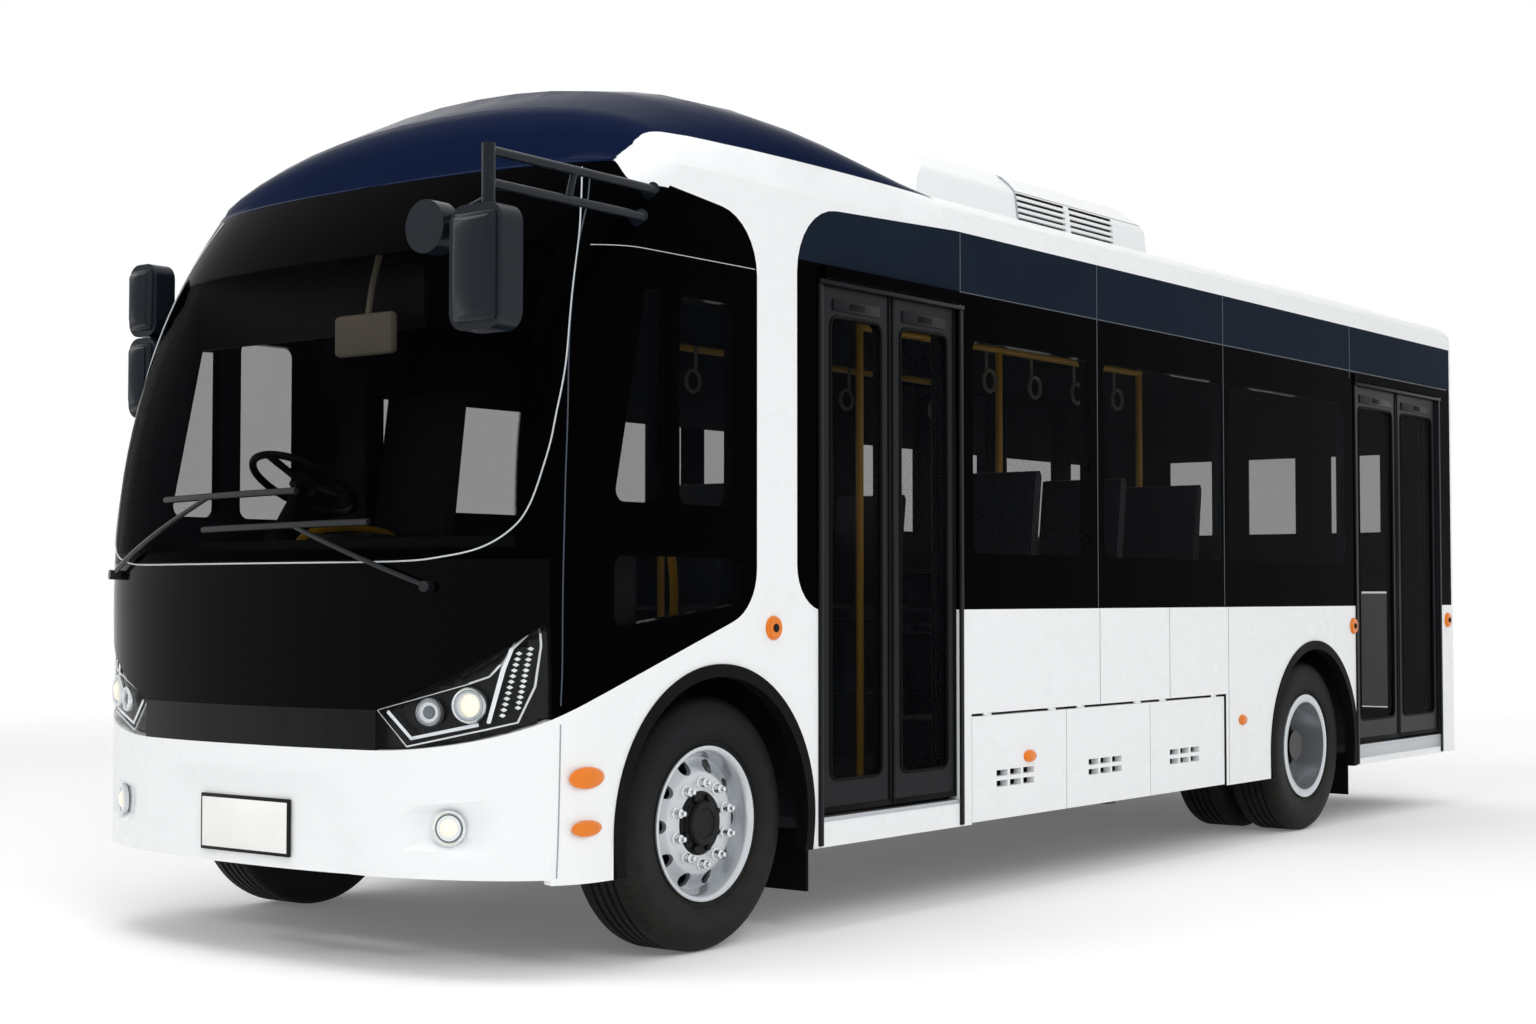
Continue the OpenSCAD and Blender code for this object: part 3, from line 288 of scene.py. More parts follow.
def unit_colour(tree, place):
    """White roof units with painted shade, near-black, in the depths behind the louvres of the cooling unit.
    """
    side, station, height = axes(tree, place)
    # Painted shade: near-black where the louvre slots of the cooling unit open into the unit
    louvre_shade = within(
        tree, (side, 0.79, 0.796), (side, 0.818, 0.826, 1.0, 0.0),
        (height, CANTRAIL + 0.36, CANTRAIL + 0.365, 1.0, 0.0),
        (station, 2.6, 2.62), (station, 4.3, 4.32, 1.0, 0.0),
    )
    return add(tree, "Mix", {0: louvre_shade, 6: tones().white, 7: linear("#0c0d0f")}, **COLOURS)


def rim_colour(tree, place):
    """Bright lip, a dish made greyer by painted shade, and black hub of each wheel."""
    radius, _ = polar(tree, place)
    # Painted shade: the dish is drawn greyer than the lip to give the contrast of polished metal
    dish = within(tree, (radius, 0.172, 0.19), (radius, 0.232, 0.256, 1.0, 0.0))
    metal = add(tree, "Mix", {0: dish, 6: tones().silver, 7: linear("#b4b9be")}, **COLOURS)
    hub = add(tree, "MapRange", (radius, 0.112, 0.114, 1.0, 0.0), **SMOOTH)
    return add(tree, "Mix", {0: hub, 6: metal, 7: linear("#0e0f11")}, **COLOURS)


def tyre_colour(tree, place):
    """Rubber with sipes across the shoulders drawn as lines of painted shade, and a paler band on the side
    wall.
    """
    radius, angle = polar(tree, place)
    turns = add(tree, "Math", (angle, SIPES / math.tau), **TIMES)
    cell = add(tree, "Math", (turns,), operation="FRACT")
    # Painted shade: near-black lines where the sipes cut the shoulders
    sipe_shade = within(tree, (cell, 0.16, 0.24, 1.0, 0.0), (radius, 0.422, 0.428))
    band = within(tree, (radius, 0.3, 0.34), (radius, 0.35, 0.41, 1.0, 0.0))
    half = add(tree, "Math", (band, 0.5), **TIMES)
    wall = add(tree, "Mix", {0: half, 6: linear("#121314"), 7: linear("#1d1e21")}, **COLOURS)
    return add(tree, "Mix", {0: sipe_shade, 6: wall, 7: linear("#050505")}, **COLOURS)


def mesh_colour(tree, place):
    """Black panel with a mesh of holes."""
    # Drawn coarser than a real mesh, so that the holes show
    pattern = {"Vector": place, "Scale": 1000 / MESH_MM, "Randomness": 0.0}
    cells = add(tree, "TexVoronoi", pattern, "Distance")
    sheet = add(tree, "MapRange", (cells, 0.3, 0.36), **SMOOTH)
    return add(tree, "Mix", {0: sheet, 6: linear("#020202"), 7: linear("#0d0f11")}, **COLOURS)


def floor_colour(tree, place):
    """Grey covering with pale specks."""
    # Drawn coarser than real specks, so that they show
    cells = add(tree, "TexVoronoi", {"Vector": place, "Scale": 1000 / SPECK_MM}, "Distance")
    speck = add(tree, "MapRange", (cells, 0.1, 0.22, 1.0, 0.0), **SMOOTH)
    return add(tree, "Mix", {0: speck, 6: linear("#2c2e31"), 7: linear("#5c6066")}, **COLOURS)


def screen_cover(tree, place):
    """Clear windscreen inside a dense black edge, header and foot."""
    side, _, height = axes(tree, place)
    leaning = add(tree, "Math", (height, 0.06, side), operation="MULTIPLY_ADD")
    dense = add(tree, "MapRange", (height, 2.435, 2.45), **SMOOTH)
    for limit in ((leaning, 1.125, 1.14), (height, SCREEN_LOW + 0.02, SCREEN_LOW + 0.05, 1.0, 0.0)):
        step = add(tree, "MapRange", limit, **SMOOTH)
        dense = add(tree, "Math", (dense, step), operation="MAXIMUM")
    return add(tree, "MapRange", (dense, 0.0, 1.0, SCREEN_TINT, 1.0), **SMOOTH)


# Each material as its colour, its roughness and its other settings
PAINT = {"spec": 0.12, "grain": 0.03, "cloud": 0.004, "dust": 0.012}
GLOSS = {"grain": 0.02, "cloud": 0.05}
LAMP = {"coat": 0.2, "spec": 0.3, "grain_mm": 6.0, "grain": 0.3}
RECIPES = {
    # Two-pack paint on sheet metal: bright white, a soft shine, a trace of road dust low down
    "white_paint": ("white", 0.28, {**PAINT, "inside": True}),
    # The same paint on panels that show no inner face
    "white_panel": ("white", 0.28, PAINT),
    # Painted laminate: white and slightly duller, with painted shade behind the louvres
    "painted_glass_fibre": (unit_colour, 0.32, PAINT),
    # Solid colour under clear lacquer: deep navy that pales only at its edges
    "navy_lacquer": (dome_colour, 0.16, {**GLOSS, "spec": 0.006, "inside": True}),
    # Glass painted black behind: smooth and nearly black, with a sharp white tip
    "black_backed_glass": (pillar_colour, 0.1, {**GLOSS, "spec": 0.006, "inside": True}),
    # Glass bonded over black and slate primer: flat dark panels with a faint sky in them
    "bonded_black_glass": (band_colour, 0.08, {**GLOSS, "spec": 0.004, "inside": True}),
    # Black lacquer on a moulded panel: even, deep black with a weak mirror image
    "black_lacquer": ("black", 0.1, {**GLOSS, "spec": 0.04}),
    # Pressed steel mesh: small black holes in a dull dark sheet
    "pressed_mesh": (mesh_colour, 0.35, {"spec": 0.12, "grain_mm": 9.0, "grain": 0.3}),
    # Moulded ABS with a grained skin: dull charcoal
    "grained_abs": ("#101113", 0.5, {"spec": 0.15, "grain_mm": 1.6, "grain": 0.5}),
    # Moulded ABS with a fine skin: charcoal with soft bright edges
    "satin_abs": ("#14161a", 0.3, {"spec": 0.3, "grain_mm": 1.2, "grain": 0.15}),
    # Powder coat on aluminium: dark grey with a fine orange peel
    "black_powder_coat": ("door", 0.34, {"spec": 0.09, "grain_mm": 1.2, "grain": 0.15}),
    # Body-tinted toughened glass: a dark view of the cabin
    "tinted_glass": ("#07090c", 0.03, {"spec": 0.012, "grain_mm": 60.0, "grain": 0.01, "alpha": 0.3}),
    # Laminated glass with a printed black edge: clear in the middle, black round it
    "laminated_glass": (
        pillar_colour, 0.03, {"spec": 0.006, "grain_mm": 80.0, "grain": 0.01, "alpha": screen_cover}
    ),
    # Hard-coated clear polycarbonate: almost unseen, with a bright glint
    "clear_polycarbonate": ("#0d1012", 0.04, {"coat": 0.5, "grain_mm": 12.0, "grain": 0.02, "alpha": 0.08}),
    # Chrome on plastic: bright silver
    "chrome_plating": ("#dfe2e4", 0.14, {"metal": 0.9, "grain": 0.02}),
    # Aluminium laid down as vapour in a moulded bowl: softly rippled mirror
    "vapour_aluminium": ("#b4bbc2", 0.18, {"metal": 0.5, "grain_mm": 5.0, "grain": 0.12}),
    # Moulded black polycarbonate: dark housing with a dull shine
    "black_polycarbonate": ("#0d0f11", 0.3, {"spec": 0.2, "grain_mm": 6.0}),
    # Faceted clear polycarbonate: small cold sparks
    "faceted_polycarbonate": ("#e6ebe8", 0.05, {**LAMP, "glow": 0.06}),
    # Acrylic light guide: an even cold white line
    "light_guide_acrylic": ("#e9eef2", 0.2, {**LAMP, "glow": 0.1}),
    # Smoked lens glass: a grey bead with a hard glint
    "smoked_glass": ("#59636b", 0.04, {"metal": 0.5, "coat": 1.0, "grain_mm": 8.0, "grain": 0.05}),
    # Fluted lens glass over a warm bulb: creamy white
    "fluted_glass": ("#f4efd9", 0.06, {**LAMP, "glow": 0.2}),
    # Moulded amber acrylic: clear orange
    "amber_acrylic": ("amber", 0.12, {**LAMP, "glow": 0.02}),
    # Moulded red acrylic: deep red
    "red_acrylic": ("#a40d10", 0.12, {**LAMP, "glow": 0.1}),
    # Vulcanised tyre rubber: dull grey-black, dusty, with cut shoulders shown as painted shade
    "tyre_rubber": (
        tyre_colour, 0.6, {"spec": 0.1, "grain_mm": 1.5, "grain": 0.45, "cloud": 0.15, "dust": 0.06}
    ),
    # Extruded rubber: dull black
    "black_rubber": ("#0b0c0d", 0.6, {"spec": 0.06, "grain_mm": 1.0, "grain": 0.3}),
    # Pressed steel under silver paint: bright lip, a dish greyer by painted shade, fine sparkle
    "silver_painted_steel": (
        rim_colour, 0.2, {"metal": 0.65, "grain_mm": 0.8, "grain": 0.02, "cloud": 0.03, "dust": 0.03}
    ),
    # Cast iron under black paint: dull and slightly rough
    "painted_cast_iron": ("#0c0d0f", 0.35, {"spec": 0.15, "grain_mm": 2.0, "grain": 0.3}),
    # Forged steel: grey, worn and dusty
    "forged_steel": ("#4b4f54", 0.45, {"metal": 0.8, "grain_mm": 1.5, "grain": 0.3, "dust": 0.3}),
    # Chassis paint: dull black under road dust
    "chassis_paint": ("#181a1d", 0.5, {"spec": 0.2, "grain_mm": 2.0, "grain": 0.3, "dust": 0.3}),
    # Safety vinyl: grey with pale specks
    "speckled_vinyl": (floor_colour, 0.55, {"spec": 0.2, "grain_mm": 2.0, "grain": 0.25}),
    # Sheet steel sprayed dark grey: dull with a slight peel
    "sprayed_sheet_steel": ("#1b1d20", 0.5, {"spec": 0.2, "grain_mm": 2.0, "grain": 0.25}),
    # Moulded polypropylene: dull dark shell
    "moulded_polypropylene": ("seat", 0.5, {"spec": 0.2, "grain_mm": 1.2, "grain": 0.3}),
    # Powder coat on tube: strong yellow with a soft shine
    "yellow_powder_coat": ("yellow", 0.35, {"coat": 0.1, "grain_mm": 1.0}),
    # Polished ABS: blue-black shell with bright edges
    "gloss_abs": ("#151b22", 0.24, {"spec": 0.16, "grain_mm": 0.9, "grain": 0.15}),
    # Silvered glass: a clear mirror
    "silvered_glass": ("#dfe4e8", 0.02, {"metal": 1.0, "grain": 0.0}),
    # Moulded polypropylene in a warm grey: dull
    "beige_polypropylene": ("#7d7566", 0.6, {"grain_mm": 1.5, "grain": 0.2}),
    # Acrylic sheet: flat white
    "plate_acrylic": ("#f2f2ef", 0.35, {"spec": 0.2, "grain_mm": 1.0, "grain": 0.05}),
    # Painted shade in the joints of white panels: a soft grey line
    "painted_seam_shade": ("#9da2a6", 0.8, {"grain": 0.0}),
    # Sealant in the joints of dark panels: a line just paler than they are
    "black_sealant": ("#39424c", 0.4, {"grain": 0.0}),
    # Vinyl tape: a thin pale line
    "pale_vinyl_tape": ("#c3c8cc", 0.4, {"grain": 0.0}),
    # Extruded aluminium: pale metal, rubbed by feet
    "sill_aluminium": ("#b9bdc1", 0.35, {"metal": 0.8, "grain_mm": 1.0, "grain": 0.3}),
}
MATERIALS = {}

# CAD nodes of each material, by their names or by how these start
NODES = {
    "chassis_paint": "chassis_rails cross_members rail_brackets tow_eyes",
    "speckled_vinyl": "floor_pan",
    "sprayed_sheet_steel": "wheel_boxes traction_motor battery_packs",
    "forged_steel": "front_axle rear_axle knuckle tie_rod",
    "white_paint": "side roof_shell rear_panel",
    "white_panel": "front_bumper front_corners rear_hatch flap",
    "bonded_black_glass": "window_frame",
    "navy_lacquer": "roof_dome",
    "pressed_mesh": "grille_panel",
    "black_lacquer": "front_mask",
    "black_backed_glass": "corner_pillars",
    "laminated_glass": "windscreen",
    "tinted_glass": "window_glass door_glass",
    "clear_polycarbonate": "headlamps",
    "painted_glass_fibre": "roof_units",
    "amber_acrylic": "marker_lamps",
    "red_acrylic": "tail_lamps",
    "gloss_abs": "mirrors",
    "satin_abs": "wipers",
    "grained_abs": "dashboard steering_wheel",
    "moulded_polypropylene": "seats",
    "yellow_powder_coat": "grab_rails",
    "black_rubber": "arch_trims mud_flaps",
    "tyre_rubber": "tyre",
    "silver_painted_steel": "rim",
    "black_powder_coat": "door",
}
LOOKS = {start: look for look, starts in NODES.items() for start in starts.split()}

# CAD nodes of curved sheet, shown without the edges between their facets
CURVED = (
    "roof_dome", "roof_shell", "front_bumper", "front_corners", "grille_panel", "front_mask",
    "corner_pillars", "windscreen", "headlamps",
)


def material(name):
    """Give a named material, and make it on first use."""
    if name not in MATERIALS:
        base, rough, settings = RECIPES[name]
        if isinstance(base, str):
            base = linear(base) if base.startswith("#") else getattr(tones(), base)
        MATERIALS[name] = surface(name, base, rough, **settings)
    return MATERIALS[name]


def evened(obj):
    """Let the facets of a curved CAD node shade as one surface; its own mesh stays as it is."""
    obj.modifiers.new("weld", "WELD").merge_threshold = 1e-5
    edges = obj.modifiers.new("edges", "EDGE_SPLIT")
    edges.split_angle = math.radians(32)
    edges.use_edge_sharp = False
    even = obj.modifiers.new("even", "WEIGHTED_NORMAL")
    even.mode = "FACE_AREA"
    even.weight = 100
    even.keep_sharp = False


# Modelling


def clear():
    """Leave edit mode and deselect everything."""
    if bpy.context.mode != "OBJECT":
        bpy.ops.object.mode_set(mode="OBJECT")
    bpy.ops.object.select_all(action="DESELECT")


def pick(obj):
    clear()
    obj.select_set(True)
    bpy.context.view_layer.objects.active = obj


def deleted(obj):
    pick(obj)
    bpy.ops.object.delete()


def placed():
    """Move the active object's place into its mesh."""
    bpy.ops.object.transform_apply(location=True, rotation=True, scale=True)
    return bpy.context.object


def editing():
    bpy.ops.object.mode_set(mode="EDIT")
    bpy.ops.mesh.select_all(action="SELECT")


def outward():
    """Turn all faces outwards and leave edit mode."""
    bpy.ops.mesh.select_all(action="SELECT")
    bpy.ops.mesh.normals_make_consistent(inside=False)
    bpy.ops.object.mode_set(mode="OBJECT")


def slab(low, high, soft):
    """Box between two corners with softened edges."""
    clear()
    low, high = Vector(low), Vector(high)
    bpy.ops.mesh.primitive_cube_add(size=1, location=(low + high) / 2)
    bpy.context.object.scale = high - low
    placed()
    editing()
    bpy.ops.mesh.bevel(offset=soft, segments=2, affect="EDGES")
    bpy.ops.object.mode_set(mode="OBJECT")
    return bpy.context.object


def block(x0, x1, s0, s1, z0, z1, soft):
    """Slab between two side offsets, two stations and two heights."""
    return slab(at(x0, s0, z0), at(x1, s1, z1), soft)


def drawn_up(rows, segments, fill_type):
    """Circle drawn up through rows of radius and height, left in edit mode."""
    clear()
    radius, height = rows[0]
    bpy.ops.mesh.primitive_circle_add(
        vertices=segments, radius=radius, fill_type=fill_type, location=(0, 0, height)
    )
    bpy.ops.object.transform_apply(location=True, rotation=False, scale=False)
    editing()
    for wide, tall in rows[1:]:
        bpy.ops.mesh.extrude_region_move(TRANSFORM_OT_translate={"value": (0, 0, tall - height)})
        bpy.ops.transform.resize(value=(wide / radius, wide / radius, 1), center_override=(0, 0, tall))
        radius, height = wide, tall
    return bpy.context.object


def turned(rows, place, direction, segments=32):
    """Round piece from rows of radius and height, turned about a direction."""
    obj = drawn_up(rows, segments, "NGON")
    outward()
    obj.rotation_euler = Vector(direction).to_track_quat("Z", "Y").to_euler()
    obj.location = place
    return placed()


def ring(rows, middle, segments):
    """Closed ring about X from rows of radius and offset."""
    obj = drawn_up(rows, segments, "NOTHING")
    bpy.ops.mesh.select_all(action="DESELECT")
    bpy.ops.mesh.select_non_manifold()
    bpy.ops.mesh.bridge_edge_loops()
    outward()
    obj.rotation_euler.y = math.pi / 2
    obj.location = middle
    return placed()


def stretched(obj, centre, factors):
    """Scale a piece about a point."""
    pick(obj)
    editing()
    bpy.ops.transform.resize(value=factors, center_override=centre)
    bpy.ops.object.mode_set(mode="OBJECT")
    return obj


def tube(points, radius, closed=False):
    """Round tube through a row of points."""
    clear()
    bpy.ops.mesh.primitive_plane_add(size=1)
    editing()
    bpy.ops.mesh.merge(type="CENTER")
    bpy.ops.transform.translate(value=points[0])
    for start, end in zip(points, points[1:]):
        bpy.ops.mesh.extrude_region_move(TRANSFORM_OT_translate={"value": Vector(end) - Vector(start)})
    bpy.ops.object.mode_set(mode="OBJECT")
    bpy.ops.object.convert(target="CURVE")
    path = bpy.context.object.data
    path.bevel_depth = radius
    path.bevel_resolution = 2
    path.use_fill_caps = True
    path.splines[0].use_cyclic_u = closed
    bpy.ops.object.convert(target="MESH")
    return placed()


def modified(obj, kind, **settings):
    """Apply a modifier with its settings."""
    pick(obj)
    made = obj.modifiers.new("shape", kind)
    for key, value in settings.items():
        setattr(made, key, value)
    bpy.ops.object.modifier_apply(modifier="shape")
    return obj


def hug(obj, target, lift):
    """Press a piece along Y on to a CAD node, a little above its surface."""
    return modified(
        obj, "SHRINKWRAP", target=frame["nodes"][target], wrap_method="PROJECT", use_project_y=True,
        use_positive_direction=True, use_negative_direction=False, offset=lift,
    )


def bored(obj, cutter):
    """Cut a piece with another one, which is used up."""
    modified(obj, "BOOLEAN", operation="DIFFERENCE", solver="EXACT", object=cutter)
    deleted(cutter)
    return obj


def choose_ahead(obj, front):
    """Select the points of a piece ahead of a plane, in edit mode."""
    pick(obj)
    bpy.ops.object.mode_set(mode="EDIT")
    bpy.ops.mesh.select_mode(type="VERT")
    bpy.ops.mesh.select_all(action="DESELECT")
    bpy.ops.object.mode_set(mode="OBJECT")
    for vertex in obj.data.vertices:
        vertex.select = vertex.co.y < front
    bpy.ops.object.mode_set(mode="EDIT")


def copy(obj, shift=(0, 0, 0), mirror=False):
    """Copy of a piece with its own mesh, moved or mirrored across the bus."""
    pick(obj)
    bpy.ops.object.duplicate(linked=False)
    made = bpy.context.object
    if mirror:
        made.scale.x = -1
    made.location = shift
    placed()
    if mirror:
        editing()
        outward()
    return made


def joined(parts):
    clear()
    for part in parts:
        part.select_set(True)
    bpy.context.view_layer.objects.active = parts[0]
    bpy.ops.object.join()
    return bpy.context.object


def copies(first, shifts):
    """Copies of a piece at each shift in one mesh; the piece itself is used up."""
    made = [copy(first, shift) for shift in shifts]
    deleted(first)
    return joined(made)


def both(obj):
    """Join a piece with its mirror image on the other side."""
    return joined([obj, copy(obj, mirror=True)])


def finished(obj, name, look, body="body", angle=40):
    """Name a piece, smooth it, paint it and let it ride on its body."""
    pick(obj)
    bpy.ops.object.shade_smooth_by_angle(angle=math.radians(angle))
    obj.name = name
    obj.data.name = name
    obj.data.materials.clear()
    obj.data.materials.append(material(look))
    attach(obj, body)
    return obj


# Form of the nose, as in the CAD part
NOSE_POWER = 2.25
NOSE_DEPTH = 0.52
BROW_DEPTH = 0.34
LEAN_FROM = 1.0
LEAN = 0.15
LEAN_POWER = 2.4


def nose_y(x, z):
    """Front surface of the nose at a side offset and height."""
    rise = max(0.0, z - LEAN_FROM)
    depth = NOSE_DEPTH - (NOSE_DEPTH - BROW_DEPTH) * rise / (CANTRAIL - LEAN_FROM)
    share = min(1.0, abs(x) / SIDE_X) ** NOSE_POWER
    return NOSE_TIP + LEAN * rise ** LEAN_POWER + depth * (1 - (1 - share) ** (1 / NOSE_POWER))


def nose_normal(x, z):
    step = 0.001
    across = (nose_y(x + step, z) - nose_y(x - step, z)) / (2 * step)
    upward = (nose_y(x, z + step) - nose_y(x, z - step)) / (2 * step)
    return Vector((across, -1, upward)).normalized()


def on_nose(x, z, lift):
    """Point a little above the surface of the nose."""
    return Vector((x, nose_y(x, z), z)) + lift * nose_normal(x, z)


def eased(points, count):
    """Smooth path through points, with more points between them."""
    path = []
    last = len(points) - 1
    for i in range(last):
        a, b, c, d = (Vector(points[min(max(j, 0), last)]) for j in range(i - 1, i + 3))
        for k in range(count):
            t = k / count
            square = (2 * a - 5 * b + 4 * c - d) * t ** 2
            cube = (3 * b - a - 3 * c + d) * t ** 3
            path.append(0.5 * (2 * b + (c - a) * t + square + cube))
    return path + [Vector(points[-1])]


def rounded_loop(low, high, radius, x, count=6):
    """Closed row of points round a rectangle with rounded corners, in the plane of the sides."""
    path = []
    corners = (
        (high.y - radius, high.z - radius), (low.y + radius, high.z - radius),
        (low.y + radius, low.z + radius), (high.y - radius, low.z + radius),
    )
    for quarter, (y, z) in enumerate(corners):
        for k in range(count + 1):
            turn = math.radians(90 * (quarter + k / count))
            path.append(Vector((x, y + radius * math.cos(turn), z + radius * math.sin(turn))))
    return path


class BUS_OT_paint(bpy.types.Operator):
    """Paint every CAD node and even the shading of the curved ones."""

    bl_idname = "bus.paint"
    bl_label = "Paint"
    bl_options = {"REGISTER", "UNDO"}

    def execute(self, context):
        for name, obj in frame["nodes"].items():
            start = max((key for key in LOOKS if name.startswith(key)), key=len)
            obj.data.materials.clear()
            obj.data.materials.append(material(LOOKS[start]))
            if name in CURVED:
                evened(obj)
        return {"FINISHED"}


class BUS_OT_headlamps(bpy.types.Operator):
    """Build the projectors, light lines, bezels, diode columns and bowls inside the headlamps."""

    bl_idname = "bus.headlamps"
    bl_label = "Headlamps"
    bl_options = {"REGISTER", "UNDO"}

    # Height of the nose's section that the projectors and diodes follow
    section_z = 0.9
    facing = (0.42, -1, 0)
    # Projectors as side offset, height and radius
    projectors = ((0.785, 0.868, 0.036), (0.912, 0.892, 0.046))
    # Rows of their rings, bowls and lenses as share of the radius and height
    ring_rows = ((1.3, 0), (1.3, 0.012), (1.2, 0.02), (1.05, 0.012))
    bowl_rows = ((1.08, 0), (1.04, 0.014), (1, 0.015), (0.6, 0.004))
    lens_rows = ((0.66, 0.003), (0.6, 0.013), (0.42, 0.019), (0.15, 0.022))
    # Lines behind the cover as side offset and height
    outline = (
        (0.6, 0.872), (0.711, 0.756), (0.967, 0.815), (1.05, 0.838), (1.09, 0.952), (1.105, 1.085),
        (1.078, 1.15), (1.03, 1.096), (1.005, 1.023), (0.975, 0.985), (0.916, 0.962),
    )
    line = ((0.64, 0.868), (0.726, 0.782), (0.944, 0.83))
    riser = ((0.972, 0.836), (1.013, 1.01), (1.036, 1.075), (1.066, 1.118))
    # Diode columns as their lower and upper ends
    columns = (((1.008, 0.86), (1.05, 1.06)), ((1.048, 0.885), (1.078, 1.075)))
    cells = 12
    cell_rows = ((0.009, 0), (0.0085, 0.005), (0.004, 0.007))
    # Inner end of the backing, and how far it lies behind the cover
    inner_x = 0.6
    backing = 0.04

    def execute(self, context):
        rings, bowls, lenses = (
            [self.fitting(rows, *projector) for projector in self.projectors]
            for rows in (self.ring_rows, self.bowl_rows, self.lens_rows)
        )
        finished(both(joined(rings)), "projector_rings", "chrome_plating")
        finished(both(joined(bowls)), "projector_bowls", "vapour_aluminium")
        finished(both(lenses[0]), "inner_projectors", "smoked_glass")
        x, z, _ = self.projectors[1]
        wide = stretched(lenses[1], self.spot(x, z), (1.35, 1.0, 1.35))
        finished(both(wide), "outer_projectors", "fluted_glass")
        bars = [self.strip(self.line, 0.006), self.strip(self.riser, 0.005)]
        finished(both(joined(bars)), "light_lines", "light_guide_acrylic")
        finished(both(self.strip(self.outline, 0.0035, True)), "lamp_bezels", "chrome_plating")
        finished(both(joined(self.diodes())), "diode_columns", "faceted_polycarbonate")
        finished(both(self.bowl()), "lamp_bowls", "black_polycarbonate")
        return {"FINISHED"}

    def spot(self, x, z, deep=0.018):
        return Vector((x, nose_y(x, self.section_z) + deep, z))

    def fitting(self, rows, x, z, radius):
        return turned([(radius * share, height) for share, height in rows], self.spot(x, z), self.facing)

    def strip(self, points, radius, closed=False):
        """Thin bar that follows the cover from behind."""
        bar = tube([Vector((x, NOSE_TIP - 0.1, z)) for x, z in points], radius, closed)
        hug(bar, "headlamps", -0.008)
        return modified(bar, "SOLIDIFY", thickness=0.004, offset=0)

    def diodes(self):
        """Two leaning columns of faceted cells."""
        made = []
        for low, high in self.columns:
            for i in range(self.cells):
                x, z = Vector(low).lerp(Vector(high), i / (self.cells - 1))
                spot = self.spot(x, z, 0.012)
                cell = turned(self.cell_rows, spot, (0.9, -1, 0), 4)
                made.append(stretched(cell, spot, (1.5, 1.0, 0.8)))
        return made

    def bowl(self):
        """Dark backing that follows the cover."""
        clear()
        low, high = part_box("headlamps")
        bpy.ops.mesh.primitive_grid_add(x_subdivisions=24, y_subdivisions=16, size=1)
        obj = bpy.context.object
        obj.rotation_euler.x = math.pi / 2
        obj.scale = (high.x - self.inner_x - 0.01, high.z - low.z - 0.02, 1)
        obj.location = ((self.inner_x + high.x) / 2, low.y - 0.1, (low.z + high.z) / 2)
        placed()
        hug(obj, "headlamps", -self.backing)
        # Points that found nothing to press on stayed ahead of the cover
        choose_ahead(obj, low.y - 0.05)
        bpy.ops.mesh.delete(type="VERT")
        bpy.ops.object.mode_set(mode="OBJECT")
        return obj


class BUS_OT_bumper(bpy.types.Operator):
    """Build the rings, bowls and lenses of the fog lamps and the blank number plate with its frame."""

    bl_idname = "bus.bumper"
    bl_label = "Bumper fittings"
    bl_options = {"REGISTER", "UNDO"}

    # Fog lamp as side offset and height, and its pieces as rows of radius and height
    fog = (0.848, 0.495)
    facing = (0.45, -1, 0)
    fog_pieces = (
        ("fog_lamp_rings", "chrome_plating", ((0.058, 0), (0.058, 0.016), (0.053, 0.02), (0.047, 0.013))),
        ("fog_lamp_bowls", "smoked_glass", ((0.05, 0.002), (0.05, 0.013), (0.044, 0.014), (0.026, 0.007))),
        ("fog_lamp_lenses", "fluted_glass", ((0.031, 0.006), (0.029, 0.016), (0.02, 0.022), (0.006, 0.025))),
    )
    plate_z = 0.466
    plate_rim = 0.012

    def execute(self, context):
        x, z = self.fog
        spot = Vector((x, nose_y(x, z) + 0.024, z))
        for name, look, rows in self.fog_pieces:
            finished(both(turned(rows, spot, self.facing)), name, look)
        middle = Vector((0, NOSE_TIP + 0.012, self.plate_z))
        half = Vector((sizes().plate_w / 2, 0, sizes().plate_h / 2))
        low, high = middle - half, middle + half
        rim = self.plate_rim
        back = slab(low - Vector((rim, 0.004, rim)), high + Vector((rim, 0.006, rim)), 0.004)
        finished(back, "plate_frame", "grained_abs")
        front = slab(low - Vector((0, 0.007, 0)), high - Vector((0, 0.003, 0)), 0.0015)
        finished(front, "number_plate", "plate_acrylic")
        return {"FINISHED"}


class BUS_OT_screen(bpy.types.Operator):
    """Build the pale line round the windscreen and the seams of the front corners."""

    bl_idname = "bus.screen"
    bl_label = "Windscreen trim"
    bl_options = {"REGISTER", "UNDO"}

    # Lines of one side as side offset and height
    pale_line = (
        (0.0, 1.357), (0.35, 1.357), (0.68, 1.359), (0.823, 1.372), (0.948, 1.401), (1.032, 1.459),
        (1.077, 1.54), (1.105, 1.687), (1.115, 1.82), (1.113, 2.053), (1.06, 2.402), (1.005, 2.587),
        (0.95, 2.715),
    )
    white_seam = ((1.138, 0.335), (1.141, 0.5), (1.143, 0.7), (1.144, 0.83))
    black_seam = (
        (1.144, 0.89), (1.151, 1.233), (1.151, 1.557), (1.136, 1.886), (1.092, 2.225), (1.054, 2.438),
        (1.026, 2.586), (0.985, 2.7),
    )

    def execute(self, context):
        seam = sizes().seam / 2
        for line, lift, radius, name, look in (
            (self.pale_line, 0.0008, sizes().pinstripe, "screen_line", "pale_vinyl_tape"),
            # The seams of the white corners are grey lines of painted shade
            (self.white_seam, 0.0002, seam, "white_corner_seams", "painted_seam_shade"),
            (self.black_seam, 0.0002, seam, "black_corner_seams", "black_sealant"),
        ):
            points = [on_nose(p.x, p.y, lift) for p in eased(line, 6)]
            finished(both(tube(points, radius)), name, look)
        return {"FINISHED"}


